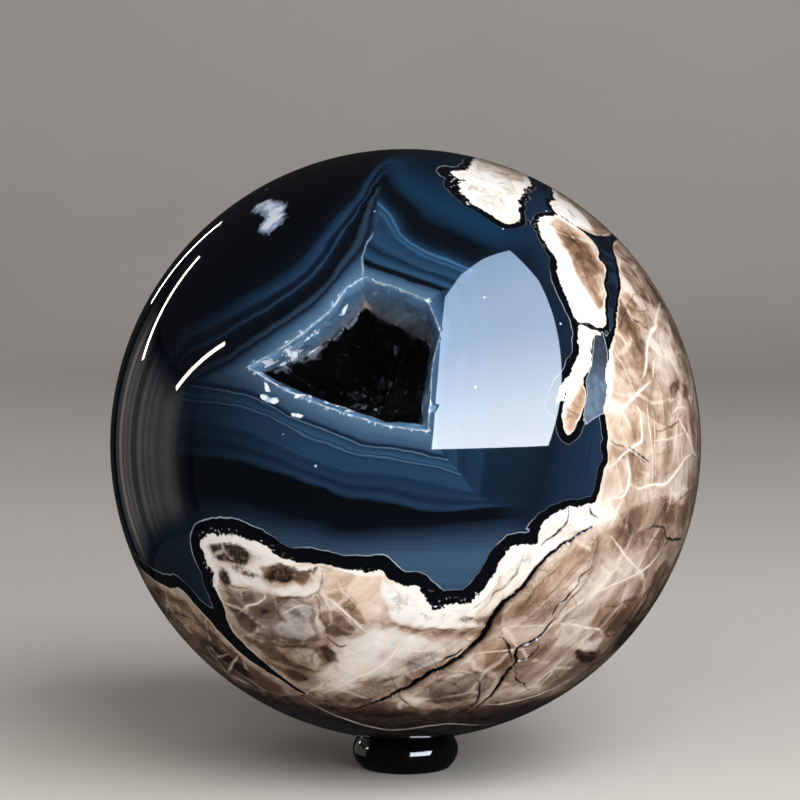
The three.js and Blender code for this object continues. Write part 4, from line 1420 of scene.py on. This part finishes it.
def swept(reach, start):
    """Bends a length of paper up past start: how far out it gets, and how high."""
    beyond = max(reach - start, 0)
    angle = min(beyond / SWEEP, pi / 2)
    return min(reach, start) + SWEEP * sin(angle), SWEEP * (1 - cos(angle)) + max(beyond - SWEEP * pi / 2, 0)


for vertex in floor_maker.verts:
    out_x, up_x = swept(abs(vertex.co.x), SIDE_START)
    out_y, up_y = swept(abs(vertex.co.y), BACK_START if vertex.co.y > 0 else SIDE_START)
    vertex.co = (out_x if vertex.co.x > 0 else -out_x, out_y if vertex.co.y > 0 else -out_y, up_x + up_y)
for f in floor_maker.faces:
    f.smooth = True
floor = as_object("floor", floor_maker)
paper = Finish("pale_paper")
paper_tone = paper.cloud(paper.place(), 6, 2)
paper.surface(paper.mix(paper_tone, paint(196, 194, 190), paint(204, 202, 199)), 0.6)
floor.data.materials.append(paper.material)
floor.visible_glossy = False
print(f"the floor rises to {max(v.co.z for v in floor.data.vertices):.1f} m")

# %% [markdown]
# A polished ball shows its lights as shapes, so each light has one task. Three thin
# strips at the left are there to be seen in the polish. The broad lights brighten the
# stone and are kept out of the polish, because their squares would show in it.


# %% Soft lights
def area_light(name, middle, turn, size, power, colour):
    """A rectangular light: where its middle is from the ball, how it is turned, its width
    and height in metres."""
    data = bpy.data.lights.new(name, "AREA")
    data.shape, data.size, data.size_y = "RECTANGLE", *size
    data.energy, data.color = power, colour
    lamp = bpy.data.objects.new(name, data)
    lamp.location = CENTRE + middle
    lamp.rotation_mode, lamp.rotation_quaternion = "QUATERNION", turn
    lamp.visible_camera = False
    scene.collection.objects.link(lamp)
    return lamp


def soft_light(name, azimuth, elevation, distance, size, power, colour):
    """A broad light that faces the ball and isn't mirrored. Azimuth 0 is the front, 90 the right."""
    away = toward(azimuth, elevation)
    lamp = area_light(name, away * distance, away.to_track_quat("Z", "Y"), size, power, colour)
    lamp.visible_glossy = False


def strip(name, start, end, width, power, colour, distance=1.2):
    """A thin light between two mirror directions, each an azimuth and an elevation."""
    a, b = toward(*start) * distance, toward(*end) * distance
    away = (a + b).normalized()
    sideways = (b - a).cross(away).normalized()
    turn = Matrix((sideways, away.cross(sideways), away)).transposed()
    area_light(name, (a + b) / 2, turn.to_quaternion(), (width, (b - a).length), power, colour)


strip("left_strip", (-132.6, 9.5), (-143.8, 24.5), 0.03, 0.55, (1.0, 0.96, 0.9))
strip("left_strip_2", (-155, 8), (-158, 19.5), 0.02, 0.25, (1.0, 0.96, 0.9))
strip("left_tube", (-101, 12.3), (-85.5, 29.5), 0.028, 0.65, (1.0, 0.84, 0.66))
soft_light("key", 34, 36, 1.0, (0.9, 0.9), 17.0, (1.0, 0.97, 0.94))
soft_light("fill", -25, 40, 1.6, (1.2, 0.8), 8.0, (1.0, 0.95, 0.9))
soft_light("right_edge", 118, 20, 1.5, (0.3, 1.2), 3.0, (1.0, 0.96, 0.92))
print(len(bpy.data.lights), "lights")

# %% [markdown]
# The tall window at the front right is a glowing pane with the window's outline, brighter
# towards its lower edge. It is seen in the polish alone.

# %% The window
PANE = [(9.5, 4), (12, 24), (17, 45), (26, 60), (48, 67), (80, 67), (102, 61), (90, 51), (74, 36),
        (62, 17), (54, 3)]
PANE_MIDDLE = toward(40, 36)
PANE_HEIGHT = 1.5


def only_mirrored(thing):
    thing.visible_camera = thing.visible_diffuse = thing.visible_shadow = False


pane_maker = bmesh.new()
pane_maker.faces.new([pane_maker.verts.new(CENTRE + toward(*p) / toward(*p).dot(PANE_MIDDLE)) for p in PANE])
pane = as_object("window_pane", pane_maker)
pane_finish = Finish("window_light")
up = pane_finish.parts(pane_finish.place())[2]
glow = pane_finish.ramp(up / PANE_HEIGHT, [
    (0.1, (0.86, 0.92, 1.0, 1)), (0.26, (0.7, 0.8, 0.93, 1)), (0.5, (0.4, 0.51, 0.67, 1)),
    (0.8, (0.27, 0.37, 0.53, 1)), (1.0, (0.17, 0.25, 0.39, 1))])
pane_finish.surface(BLACK, 1.0, Emission_Color=glow, Emission_Strength=8.0)
pane.data.materials.append(pane_finish.material)
only_mirrored(pane)

# %% [markdown]
# A polished ball shows a dark edge where nothing stands beside it. A dim grey screen at the
# left, bent round the ball and seen in its polish alone, gives that edge a soft sheen.

# %% A dim grey screen at the left
SCREEN_START, SCREEN_TURN, SCREEN_DISTANCE = -86, -68, 1.2  # degrees, degrees, metres
SCREEN_FOOT, SCREEN_TOP = -0.5, 0.36  # metres from the height of the ball's centre

screen_maker = bmesh.new()
foot_place = CENTRE + toward(SCREEN_START, 0) * SCREEN_DISTANCE
screen_edge = [screen_maker.verts.new(foot_place + Vector((0, 0, z))) for z in (SCREEN_FOOT, SCREEN_TOP)]
geom = screen_edge + [screen_maker.edges.new(screen_edge)]
bmesh.ops.spin(screen_maker, geom=geom, axis=(0, 0, 1), cent=CENTRE, steps=32, angle=radians(SCREEN_TURN))
screen = as_object("grey_screen", screen_maker)
cloth = Finish("dim_cloth")
x, y, z = cloth.parts(cloth.place(CENTRE))
round_it = x.math("ARCTAN2", x, 0.0 - y)
fade = round_it.step(-1.54, -1.72) * round_it.step(-2.64, -2.45) * z.step(0.34, 0.12) * z.step(-0.48, -0.3)
folds = cloth.stripes(round_it * 7.0, 1.0, 2.0)
dim_glow = cloth.mix(fade * folds.step(0.35, 0.62, 0.3, 1.0), BLACK, paint(152, 147, 142))
cloth.surface(BLACK, 1.0, Emission_Color=dim_glow, Emission_Strength=0.8)
screen.data.materials.append(cloth.material)
only_mirrored(screen)

# %% The room's own faint light
world = bpy.data.worlds.new("dim_room")
world.use_nodes = True
world.node_tree.nodes["Background"].inputs[0].default_value = (0.012, 0.012, 0.013, 1)
scene.world = world
scene.view_settings.view_transform = "Standard"

# %% [markdown]
# ## The camera
# It looks from the front, a little above the middle of the ball, from about arm's length.
# It aims a little above the ball's centre and a hair to its left, so the ball stands low
# in the frame with its ring just inside it.

# %% The camera
DISTANCE, ELEVATION = 0.6, 6.0
SENSOR_WIDTH, LENS = 36.0, 132.3  # mm
AIM_ABOVE, AIM_LEFT = 1.98, 0.2475  # mm on the sensor

camera = bpy.data.objects.new("camera", bpy.data.cameras.new("camera"))
camera.data.sensor_width, camera.data.lens = SENSOR_WIDTH, LENS
camera.data.clip_start = 0.01
camera.location = CENTRE + toward(0, ELEVATION) * DISTANCE
pitch = radians(ELEVATION) - atan(AIM_ABOVE / LENS)
yaw = atan(AIM_LEFT / LENS)
camera.rotation_euler = (pi / 2 - pitch, 0, yaw)
scene.collection.objects.link(camera)
scene.camera = camera
